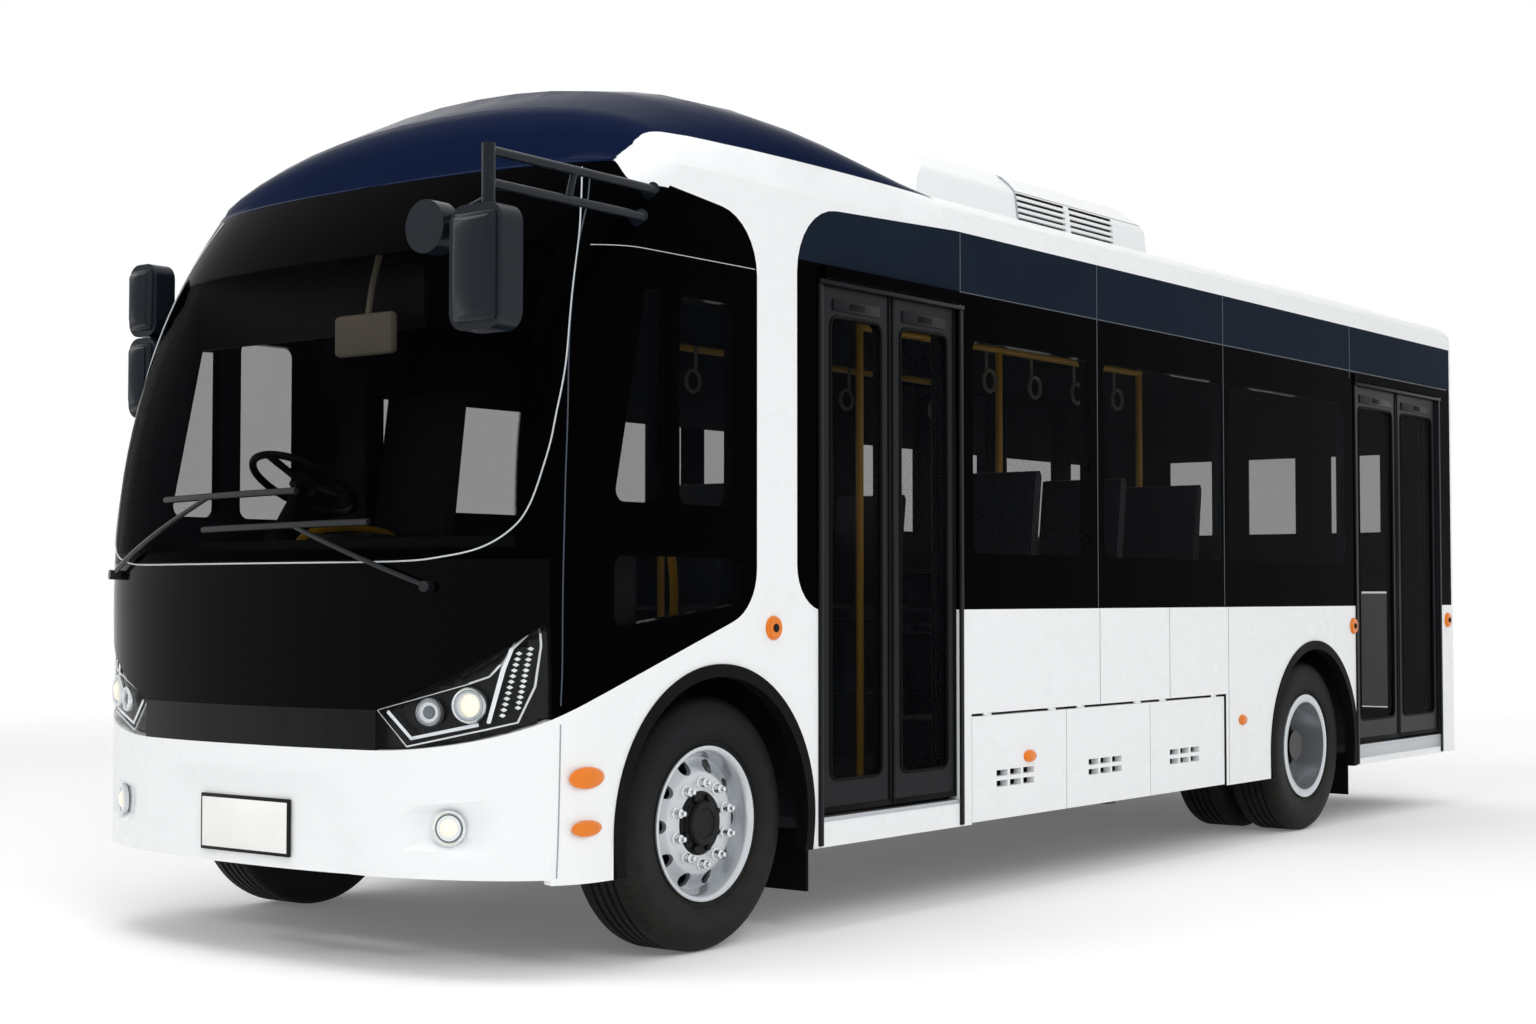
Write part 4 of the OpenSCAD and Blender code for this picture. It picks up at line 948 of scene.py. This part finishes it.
class BUS_OT_seams(bpy.types.Operator):
    """Build the seams of the side panels, the window band and the front quarter panes."""

    bl_idname = "bus.seams"
    bl_label = "Panel seams"
    bl_options = {"REGISTER", "UNDO"}

    # Upright seams as station, lower and upper height
    white = ((2.734, 0.766, 1.188), (4.04, 0.32, 1.188), (3.41, 0.766, 1.188))
    band = ((1.575, 1.195, 2.73), (2.72, 1.195, 2.73), (4.0, 1.195, 2.73), (5.58, 2.45, 2.73))
    # Level seam as its stations
    level = (1.58, 7.05)
    # Line over the quarter pane, by side offset on the nose and then by station
    quarter_z = 2.42
    quarter_x = (1.09, 1.11, 1.128, 1.144, 1.158, 1.169, 1.177, 1.182)
    quarter_s = (-0.4, 0.2)

    def execute(self, context):
        half = sizes().seam / 2
        # The seams of the white side panels are grey lines of painted shade
        upright = [self.seam(s - half, s + half, z0, z1) for s, z0, z1 in self.white]
        finished(both(joined(upright)), "side_seams", "painted_seam_shade")
        made = [self.seam(s - half, s + half, z0, z1) for s, z0, z1 in self.band]
        made.append(self.seam(*self.level, BAND_LINE - half, BAND_LINE + half))
        finished(both(joined(made)), "band_seams", "black_sealant")
        line = [on_nose(x, self.quarter_z, 0.001) for x in self.quarter_x]
        line += [at(SIDE_X + 0.001, s, self.quarter_z) for s in self.quarter_s]
        finished(both(tube(line, 0.0015)), "quarter_seams", "pale_vinyl_tape")
        return {"FINISHED"}

    def seam(self, s0, s1, z0, z1):
        return block(SIDE_X - 0.004, SIDE_X + 0.0008, s0, s1, z0, z1, 0.0004)


class BUS_OT_side_lamps(bpy.types.Operator):
    """Build the amber ovals and the rims and dark middles of the round side lamps."""

    bl_idname = "bus.side_lamps"
    bl_label = "Side lamps"
    bl_options = {"REGISTER", "UNDO"}

    # Ovals on the flap and on the side as station, height and half sizes
    flap_oval = (2.12, 0.565, 0.046, 0.026)
    side_oval = (4.19, 0.626, 0.042, 0.026)
    # Ovals on the front corners as side offset, height and half sizes
    corner_ovals = ((1.178, 0.654, 0.078, 0.036), (1.178, 0.49, 0.068, 0.027))
    # Rows of an oval as shares of its half height and its depth
    oval_rows = ((1.0, 0.0), (1.0, 0.35), (0.86, 0.72), (0.5, 0.95), (0.12, 1.0))
    # Stations of the round lamps, and rows of radius and height of their pieces
    round_lamps = (0.309, 5.58, 7.03)
    rim_rows = ((0.044, 0), (0.044, 0.006), (0.04, 0.012), (0.034, 0.012))
    middle_rows = ((0.015, 0.012), (0.015, 0.018), (0.011, 0.021), (0.003, 0.021))

    def execute(self, context):
        sideways = (1, 0, 0)
        s, z, *half = self.flap_oval
        first = self.oval(at(SIDE_X - 0.006, s, z), sideways, *half, 0.02)
        finished(first, "amber_oval_flap", "amber_acrylic", "flap_left_1")
        s, z, *half = self.side_oval
        made = [self.oval(at(SIDE_X, s, z), sideways, *half, 0.016)]
        for x, z, *half in self.corner_ovals:
            made.append(self.oval(on_nose(x, z, -0.002), nose_normal(x, z), *half, 0.022))
        finished(both(joined(made)), "amber_ovals", "amber_acrylic")
        spots = [self.lamp_spot(s) for s in self.round_lamps]
        rims = [turned(self.rim_rows, spot, sideways) for spot in spots]
        finished(both(joined(rims)), "side_lamp_rims", "amber_acrylic")
        middles = [turned(self.middle_rows, spot, sideways, 20) for spot in spots]
        finished(both(joined(middles)), "side_lamp_middles", "grained_abs")
        return {"FINISHED"}

    def oval(self, place, facing, half_s, half_z, deep):
        rows = [(half_z * wide, deep * tall) for wide, tall in self.oval_rows]
        return stretched(turned(rows, place, facing, 24), place, (1, half_s / half_z, 1))

    def lamp_spot(self, s):
        """Middle of the CAD lamp lens nearest to a station."""
        lamps = frame["nodes"]["marker_lamps"].data.vertices
        near = [v.co for v in lamps if v.co.x > 0 and abs(v.co.y - FRONT_AXLE - s) < 0.2]
        ys = [c.y for c in near]
        zs = [c.z for c in near]
        return Vector((SIDE_X, (min(ys) + max(ys)) / 2, (min(zs) + max(zs)) / 2))


class BUS_OT_doors(bpy.types.Operator):
    """Build the seals, glazing beads and headers of the doors, and their jambs, drip rails and sills."""

    bl_idname = "bus.doors"
    bl_label = "Door fittings"
    bl_options = {"REGISTER", "UNDO"}

    stile = 0.062
    seal_w = 0.016
    seal_lift = 0.0147
    corner = 0.04
    # Gap between a door and its jambs
    gap = 0.008
    jamb_w = 0.026
    jamb_low = 0.318
    drip_lap = 0.008
    drip_h = 0.018

    def execute(self, context):
        for end in ("front", "rear"):
            for leaf in ("a", "b"):
                self.leaf(end + "_" + leaf)
            self.surround(end)
        return {"FINISHED"}

    def leaf(self, name):
        """Rubbers and header box of one door leaf."""
        body = "door_" + name
        low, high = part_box(body)
        face = high.x
        foot = low.z + self.seal_lift
        edges = [
            slab((face - 0.004, y, foot), (face + 0.005, y + self.seal_w, high.z), 0.003)
            for y in (low.y, high.y - self.seal_w)
        ]
        edges.append(slab((face - 0.004, low.y, foot), (face + 0.004, high.y, foot + 0.022), 0.003))
        finished(joined(edges), "door_seals_" + name, "black_rubber", body)
        loop = rounded_loop(*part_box("door_glass_" + name), self.corner, face - 0.001)
        finished(tube(loop, sizes().bead, True), "glazing_bead_" + name, "black_rubber", body)
        top = Vector((face, (low.y + high.y) / 2, high.z))
        half = (high.y - low.y) / 2 - self.stile - 0.012
        box = slab(top + Vector((-0.006, -half, -0.098)), top + Vector((0.006, half, -0.052)), 0.004)
        finished(box, "door_header_" + name, "black_powder_coat", body)
        slot = slab(top + Vector((0.002, -0.05, -0.088)), top + Vector((0.0075, 0.05, -0.062)), 0.002)
        finished(slot, "door_header_slot_" + name, "black_rubber", body)

    def surround(self, end):
        """Jambs, drip rail and sill of one doorway."""
        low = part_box("door_" + end + "_a")[0]
        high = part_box("door_" + end + "_b")[1]
        y0, y1 = low.y - self.gap, high.y + self.gap
        outer_y0, outer_y1 = y0 - self.jamb_w, y1 + self.jamb_w
        top = high.z + self.gap
        jambs = [
            slab((SIDE_X - 0.003, start, self.jamb_low), (SIDE_X + 0.009, stop, top), 0.003)
            for start, stop in ((outer_y0, y0), (y1, outer_y1))
        ]
        finished(joined(jambs), "door_jambs_" + end, "black_powder_coat")
        drip_low = (SIDE_X - 0.002, outer_y0, high.z - self.drip_lap)
        drip_high = (SIDE_X + 0.016, outer_y1, high.z - self.drip_lap + self.drip_h)
        drip = slab(drip_low, drip_high, 0.004)
        finished(drip, "door_drip_rail_" + end, "black_powder_coat")
        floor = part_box("floor_pan")[1].z
        sill = [slab((SIDE_X - 0.05, y0, floor - 0.014), (SIDE_X + 0.004, y1, floor + 0.003), 0.003)]
        if end == "rear":
            sill.append(slab((SIDE_X - 0.003, y0, floor - 0.07), (SIDE_X + 0.004, y1, floor - 0.013), 0.002))
        finished(joined(sill), "door_sill_" + end, "sill_aluminium")


class BUS_OT_wheels(bpy.types.Operator):
    """Build the treaded tyres, the pressed front rims with hubs, the wheel nuts and the hub bolts."""

    bl_idname = "bus.wheels"
    bl_label = "Wheels"
    bl_options = {"REGISTER", "UNDO"}

    ribs = 5
    nuts = 10
    hub_bolts = 8
    bolt_circle = 0.094
    # Seats of the nuts and of the bolts, outwards from the middle of the tyre
    nut_seats = {"front": 0.094, "rear": -0.104}
    bolt_seats = {"front": 0.1, "rear": 0.02}
    hand_hole = 0.0255
    hole_circle = 0.2045
    # Rows of radius and height
    hub = (
        (0.1115, -0.04), (0.1115, 0.094), (0.106, 0.1), (0.086, 0.1), (0.081, 0.104), (0.078, 0.117),
        (0.073, 0.122), (0.054, 0.122), (0.049, 0.117), (0.02, 0.117),
    )
    drum = ((0.21, 0.0), (0.21, 0.026), (0.2, 0.034), (0.14, 0.034), (0.136, 0.03), (0.1, 0.03))
    nut = (
        (0.021, -0.002), (0.021, 0.006), (0.0165, 0.008), (0.0165, 0.03), (0.012, 0.034), (0.009, 0.034),
        (0.009, 0.046), (0.006, 0.048),
    )
    bolt = ((0.012, -0.004), (0.012, 0.008), (0.009, 0.011), (0.003, 0.011))
    # Rows of the flanges and of the dish of a rim: radius, and offset from the inner lip, the outer lip or 0
    inner_flange = ((0.232, 0), (0.272, 0), (0.272, 0.009), (0.249, 0.022))
    outer_flange = (
        (0.249, -0.022), (0.272, -0.009), (0.272, -0.002), (0.269, 0), (0.262, 0), (0.256, -0.004),
        (0.249, -0.016), (0.243, -0.04),
    )
    dish = (
        (0.238, 0.075), (0.232, 0.064), (0.222, 0.064), (0.202, 0.074), (0.182, 0.09), (0.174, 0.094),
        (0.11, 0.094), (0.11, 0.08), (0.17, 0.08), (0.2, 0.058), (0.222, 0.048), (0.232, 0.046),
    )
    # Rows of a bead, and of a side wall as depth below the tread; both with offset from the side
    bead = ((0.25, 0.032), (0.276, 0.018), (0.29, 0.014), (0.294, 0.008), (0.312, 0.004))
    wall = ((0.07, 0), (0.03, 0.009), (0.012, 0.02), (0.003, 0.034), (0, 0.046))

    def execute(self, context):
        for end, y in (("front", FRONT_AXLE), ("rear", REAR_AXLE)):
            for side, sign in (("left", 1), ("right", -1)):
                self.wheel(end, side, Vector((sign * WHEEL_X, y, WHEEL_Z)), sign)
        return {"FINISHED"}

    def wheel(self, end, side, middle, sign):
        name = end + "_" + side
        body = "wheel_" + name
        low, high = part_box("tyre_" + name)
        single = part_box("tyre_front_left")
        wide = single[1].x - single[0].x
        shifts = [0.0]
        if end == "rear":
            shifts.append(high.x - low.x - wide)
        out = Vector((sign, 0, 0))
        radius = (high.z - low.z) / 2
        tyres = [self.tyre(middle - shift * out, wide / 2, radius) for shift in shifts]
        tread = finished(joined(tyres), "treaded_tyre_" + name, "tyre_rubber", body, 30)
        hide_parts("tyre_" + name)
        if end == "front":
            self.rim(name, middle, sign, wide / 2 - 0.008)
        first = turned(self.nut, middle + self.nut_seats[end] * out, out, 12)
        nuts = copies(first, self.circle(self.nuts, sizes().nut_circle, 0.5))
        finished(nuts, "wheel_nuts_" + name, "chrome_plating", body)
        first = turned(self.bolt, middle + self.bolt_seats[end] * out, out, 12)
        bolts = copies(first, self.circle(self.hub_bolts, self.bolt_circle, 0.5))
        finished(bolts, "hub_bolts_" + name, "painted_cast_iron", body)

    def circle(self, count, radius, start=0.0):
        """Shifts from the middle of a wheel to places on a circle."""
        angles = [math.tau * (i + start) / count for i in range(count)]
        return [radius * Vector((0, math.cos(angle), math.sin(angle))) for angle in angles]

    def rim(self, name, middle, sign, lip):
        """Pressed front disc with hand holes on its slope, and the black hub and drum in it."""
        body = "wheel_" + name
        out = Vector((sign, 0, 0))
        section = [(radius, offset - lip) for radius, offset in self.inner_flange]
        section += [(radius, lip + offset) for radius, offset in self.outer_flange]
        section += self.dish
        disc = ring([(radius, sign * offset) for radius, offset in section], middle, 96)
        hole = turned(((self.hand_hole, 0), (self.hand_hole, 0.1)), middle + 0.03 * out, out)
        holes = copies(hole, self.circle(self.nuts, self.hole_circle))
        piece = finished(bored(disc, holes), "pressed_rim_" + name, "silver_painted_steel", body, 35)
        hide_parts("rim_" + name)
        hub = turned(self.hub, middle, out, 48)
        drum = turned(self.drum, middle, out, 64)
        finished(joined([hub, drum]), "hub_" + name, "painted_cast_iron", body, 35)

    def tyre(self, middle, half, radius):
        """Ring with two side walls and grooves between its ribs."""
        deep = sizes().groove
        side = [(wide, offset - half) for wide, offset in self.bead]
        side += [(radius - below, offset - half) for below, offset in self.wall]
        edge = side[-1][1]
        rows = list(side)
        for i in range(1, self.ribs):
            groove = edge - 2 * edge * i / self.ribs
            rows += [(radius, groove - 0.007), (radius - deep, groove - 0.004)]
            rows += [(radius - deep, groove + 0.004), (radius, groove + 0.007)]
        rows += [(wide, -offset) for wide, offset in reversed(side)]
        return ring(rows, middle, 96)


class BUS_OT_roof(bpy.types.Operator):
    """Build the seam of the cooling unit and the slats of the rear grille."""

    bl_idname = "bus.roof"
    bl_label = "Roof fittings"
    bl_options = {"REGISTER", "UNDO"}

    # Top of the roof above the cantrail
    crown = 0.2
    # Seam of one side as side offset and height above the roof
    seam_s = 2.6
    section = (
        (-0.849, 0.03), (-0.836, 0.13), (-0.826, 0.16), (-0.80, 0.19), (-0.76, 0.225), (-0.715, 0.247),
        (-0.66, 0.2555), (0.0, 0.2555),
    )
    slats = 7
    first_slat = 6.28
    slat_pitch = 0.055
    slat_half = 0.62

    def execute(self, context):
        top = CANTRAIL + self.crown
        points = [at(x, self.seam_s, top + z) for x, z in self.section]
        # The seam of the cooling unit is a grey line of painted shade
        finished(both(tube(points, sizes().seam * 0.8)), "cooling_unit_seam", "painted_seam_shade")
        made = []
        for i in range(self.slats):
            s = self.first_slat + self.slat_pitch * i
            made.append(block(-self.slat_half, self.slat_half, s, s + 0.026, top + 0.058, top + 0.066, 0.003))
        finished(joined(made), "rear_grille_slats", "black_rubber")
        return {"FINISHED"}


class BUS_OT_mirrors(bpy.types.Operator):
    """Build the glass of the mirror heads and their bulging backs."""

    bl_idname = "bus.mirrors"
    bl_label = "Mirror heads"
    bl_options = {"REGISTER", "UNDO"}

    # Heads as side offset, station of the glass, height and half sizes
    heads = (
        (1.2725, -1.21, 2.245, 0.088, 0.168),
        (-1.299, -0.495, 2.425, 0.062, 0.122),
        (-1.299, -0.495, 2.115, 0.062, 0.137),
    )
    head_depth = 0.09
    # Rings of a back as share of the ring before and step outwards
    bulge = ((0.93, 0.011), (0.9, 0.009), (0.86, 0.007), (0.8, 0.005), (0.65, 0.004), (0.4, 0.002))

    def execute(self, context):
        glass = [
            block(x - half_x, x + half_x, s - 0.003, s + 0.003, z - half_z, z + half_z, 0.0025)
            for x, s, z, half_x, half_z in self.heads
        ]
        finished(joined(glass), "mirror_glass", "silvered_glass")
        backs = [self.back(x, s - self.head_depth, *rest) for x, s, *rest in self.heads]
        finished(joined(backs), "mirror_backs", "gloss_abs", angle=60)
        return {"FINISHED"}

    def back(self, x, s, z, half_x, half_z):
        """Back of a mirror head, raised ring by ring from its front face."""
        made = block(x - half_x, x + half_x, s - 0.012, s + 0.03, z - half_z, z + half_z, 0.011)
        front = at(x, s - 0.012, z)
        choose_ahead(made, front.y + 1e-4)
        peak = front + Vector((0, 0, half_z * 0.22))
        for shrink, out in self.bulge:
            bpy.ops.mesh.extrude_region_move(TRANSFORM_OT_translate={"value": (0, -out, 0)})
            bpy.ops.transform.resize(value=(shrink, 1, shrink), center_override=peak)
        outward()
        return made


class BUS_OT_cabin(bpy.types.Operator):
    """Build the grab handles, guard rails, window sashes, sun blind and inside mirror."""

    bl_idname = "bus.cabin"
    bl_label = "Cabin fittings"
    bl_options = {"REGISTER", "UNDO"}

    handles = 6
    rail_radius = 0.017
    # Guard rail over a front wheel box as its side offset, and stations and heights
    hoop_x = 0.72
    hoop = ((-0.3, 1.35), (-0.2, 1.5), (0.2, 1.5), (0.3, 1.35))
    # Sashes: posts of the side without doors by station, posts of the tail by side offset
    side_posts = (0.66, 1.5, 2.3, 3.1, 3.9, 4.7, 5.5, 6.3)
    tail_posts = (-0.96, -0.4, 0.16, 0.72)
    post_w = 0.24
    post_z = (1.4, 2.46)
    # Level bars of the sashes as lower and upper height
    side_bars = ((1.38, 1.62), (2.1, 2.46))
    tail_bars = ((1.4, 1.64), (2.12, 2.45))
    sash_soft = 0.006

    def execute(self, context):
        low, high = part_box("grab_rails")
        hang = self.handle(high.x - self.rail_radius, high.z - self.rail_radius)
        start, end = low.y + 0.25, high.y - 0.25
        shifts = [(0, start + (end - start) * i / (self.handles - 1), 0) for i in range(self.handles)]
        finished(both(copies(hang, shifts)), "grab_handles", "beige_polypropylene")
        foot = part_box("wheel_boxes")[1].z - 0.002
        hoop = [(self.hoop[0][0], foot), *self.hoop, (self.hoop[-1][0], foot)]
        path = eased([at(self.hoop_x, s, z) for s, z in hoop], 5)
        finished(both(tube(path, 0.016)), "front_rails", "yellow_powder_coat")
        finished(joined(self.sashes()), "window_sashes", "grained_abs")
        blind = block(-0.95, 0.3, -0.58, -0.56, 2.2, 2.45, 0.008)
        finished(blind, "sun_blind", "grained_abs")
        glass = block(-0.02, 0.28, -0.72, -0.68, 2.1, 2.25, 0.018)
        stem = tube([at(0.13, -0.69, 2.24), at(0.13, -0.67, 2.35), at(0.13, -0.6, 2.6)], 0.012)
        finished(joined([glass, stem]), "inside_mirror", "beige_polypropylene")
        return {"FINISHED"}

    def handle(self, x, z):
        """One handle in the plane y = 0: a band over the rail and a rounded grip."""
        drop = sizes().handle
        band = slab((x - 0.019, -0.013, z - drop * 0.62), (x - 0.0165, 0.013, z + 0.012), 0.001)
        angles = [math.pi * k / 10 for k in range(20)]
        loop = [Vector((x, 0.052 * math.cos(a), z - drop * 0.9 + 0.05 * math.sin(a))) for a in angles]
        return joined([band, tube(loop, 0.009, True)])

    def sashes(self):
        soft = self.sash_soft
        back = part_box("rear_panel")[1].y - FRONT_AXLE - 0.075
        made = [block(-1.13, -1.112, s, s + self.post_w, *self.post_z, soft) for s in self.side_posts]
        made += [block(-1.133, -1.117, 0.55, 6.95, *heights, soft) for heights in self.side_bars]
        made += [block(x, x + self.post_w, back - 0.018, back, *self.post_z, soft) for x in self.tail_posts]
        made += [block(-0.96, 0.96, back - 0.021, back - 0.005, *heights, soft) for heights in self.tail_bars]
        return made


class BUS_OT_tail(bpy.types.Operator):
    """Build the bezels of the tail lamps, the hatch grille and the hatch handle."""

    bl_idname = "bus.tail"
    bl_label = "Tail fittings"
    bl_options = {"REGISTER", "UNDO"}

    lamp_radius = 0.038
    lamp_pitch = 0.09
    bezel = ((0.05, 0), (0.05, 0.007), (0.046, 0.01), (0.0385, 0.01))
    slats = 6
    first_slat = 0.14
    slat_pitch = 0.05

    def execute(self, context):
        low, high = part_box("tail_lamps")
        x = high.x - self.lamp_radius
        upper = high.z - self.lamp_radius
        bezels = [
            turned(self.bezel, (x, low.y, z), (0, 1, 0))
            for z in (low.z + self.lamp_radius, upper, upper - self.lamp_pitch)
        ]
        finished(both(joined(bezels)), "tail_lamp_bezels", "grained_abs")
        low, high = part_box("rear_hatch")
        outer = high.y - 0.005
        made = []
        for i in range(self.slats):
            z = low.z + self.first_slat + self.slat_pitch * i
            made.append(slab((-0.5, outer - 0.006, z), (0.5, outer + 0.006, z + 0.024), 0.004))
        finished(joined(made), "hatch_grille", "grained_abs", "rear_hatch")
        grip = slab((-0.07, outer - 0.004, low.z + 0.05), (0.07, outer + 0.012, low.z + 0.08), 0.006)
        finished(grip, "hatch_handle", "grained_abs", "rear_hatch")
        return {"FINISHED"}


class BUS_OT_stage(bpy.types.Operator):
    """Set the floor, the lights, the white backdrop and the camera."""

    bl_idname = "bus.stage"
    bl_label = "Stage"
    bl_options = {"REGISTER", "UNDO"}

    # Camera as side offset, station and height, and where it looks
    camera_place = (6.032, -6.077, 1.247)
    camera_view = (-0.6060, 0.7946, 0.0377)
    lens_mm = 51.9
    # Lights as place, aim, size and power
    lights = (
        ((11, -9, 9), (0, -1, 1.2), 6, 485),
        ((-9, -12, 7), (0, -3, 1.5), 5, 110),
        ((6, 13, 9), (0, 2, 1.5), 8, 300),
        ((0, -6, 10), (0, -1, 1.5), 5, 330),
    )
    # Distances over which the floor fades out
    fade_from = 7.0
    fade_to = 16.0

    def execute(self, context):
        clear()
        bpy.ops.mesh.primitive_plane_add(size=120, location=(0, 0, -0.001))
        floor = bpy.context.object
        floor.name = "floor"
        floor.data.materials.append(self.floor_material())
        for i, (place, aim, size, power) in enumerate(self.lights):
            clear()
            bpy.ops.object.light_add(type="AREA", location=place)
            lamp = bpy.context.object
            lamp.name = "softbox_%d" % i
            lamp.data.size = size
            lamp.data.energy = power
            # Gloss mirrors the backdrop and not the lights
            lamp.visible_glossy = False
            lamp.rotation_euler = (Vector(aim) - Vector(place)).to_track_quat("-Z", "Y").to_euler()
        self.sky()
        clear()
        bpy.ops.object.camera_add(location=at(*self.camera_place))
        camera = bpy.context.object
        camera.data.lens = self.lens_mm
        camera.data.sensor_width = 36
        camera.data.clip_end = 200
        camera.rotation_euler = Vector(self.camera_view).to_track_quat("-Z", "Y").to_euler()
        bpy.context.scene.camera = camera
        bpy.context.scene.view_settings.view_transform = "Standard"
        return {"FINISHED"}

    def floor_material(self):
        """Pale floor that fades out far away."""
        pale = linear("#fbfbfb")
        made = surface(
            "pale_floor", pale, 0.8, spec=0.1, grain_mm=20.0, grain=0.02, cloud=0.004, alpha=self.fade
        )
        lift = {"Emission Color": (1, 1, 1), "Emission Strength": 0.12}
        fill(made.node_tree, made.node_tree.nodes["Principled BSDF"], lift)
        return made

    def fade(self, tree, place):
        reach = add(tree, "VectorMath", (place,), "Value", operation="LENGTH")
        return add(tree, "MapRange", (reach, self.fade_from, self.fade_to, 1.0, 0.0), **SMOOTH)

    def sky(self):
        """White backdrop for the eye, for gloss and through glass, and softer light from above."""
        world = bpy.data.worlds.new("studio")
        world.use_nodes = True
        tree = world.node_tree
        rays = add(tree, "LightPath").node.outputs
        way = add(tree, "TexCoord", out="Generated")
        upward = add(tree, "SeparateXYZ", (way,), "Z")
        rise = add(tree, "MapRange", (upward, -0.4, 0.7), **SMOOTH)
        soft = add(tree, "Mix", {0: rise, 6: (0.36, 0.36, 0.36), 7: (0.68, 0.68, 0.68)}, **COLOURS)
        shown = add(tree, "Math", (rays["Is Camera Ray"], rays["Is Glossy Ray"]), operation="MAXIMUM")
        shown = add(tree, "Math", (shown, rays["Is Transmission Ray"]), operation="MAXIMUM")
        light = add(tree, "Mix", {0: shown, 6: soft, 7: (1.0, 1.0, 1.0)}, **COLOURS)
        fill(tree, tree.nodes["Background"], {"Color": light})
        bpy.context.scene.world = world


class BUS_PT_panel(bpy.types.Panel):
    """Buttons that build the bus."""

    bl_label = "Airport bus"
    bl_space_type = "VIEW_3D"
    bl_region_type = "UI"
    bl_category = "Bus"

    def draw(self, context):
        for group in (context.scene.bus_colours, context.scene.bus_sizes):
            for key in group.__annotations__:
                self.layout.prop(group, key)
        for step in STEPS:
            self.layout.operator(step.bl_idname)


STEPS = (
    BUS_OT_paint, BUS_OT_headlamps, BUS_OT_bumper, BUS_OT_screen, BUS_OT_seams, BUS_OT_side_lamps,
    BUS_OT_doors, BUS_OT_wheels, BUS_OT_roof, BUS_OT_mirrors, BUS_OT_cabin, BUS_OT_tail, BUS_OT_stage,
)
CLASSES = (BusColours, BusSizes, *STEPS, BUS_PT_panel)


def register():
    for cls in CLASSES:
        bpy.utils.register_class(cls)
    bpy.types.Scene.bus_colours = bpy.props.PointerProperty(type=BusColours)
    bpy.types.Scene.bus_sizes = bpy.props.PointerProperty(type=BusSizes)


def unregister():
    del bpy.types.Scene.bus_sizes
    del bpy.types.Scene.bus_colours
    for cls in reversed(CLASSES):
        bpy.utils.unregister_class(cls)


def main():
    register()
    for step in STEPS:
        group, name = step.bl_idname.split(".")
        getattr(getattr(bpy.ops, group), name)()


if __name__ == "__main__":
    main()
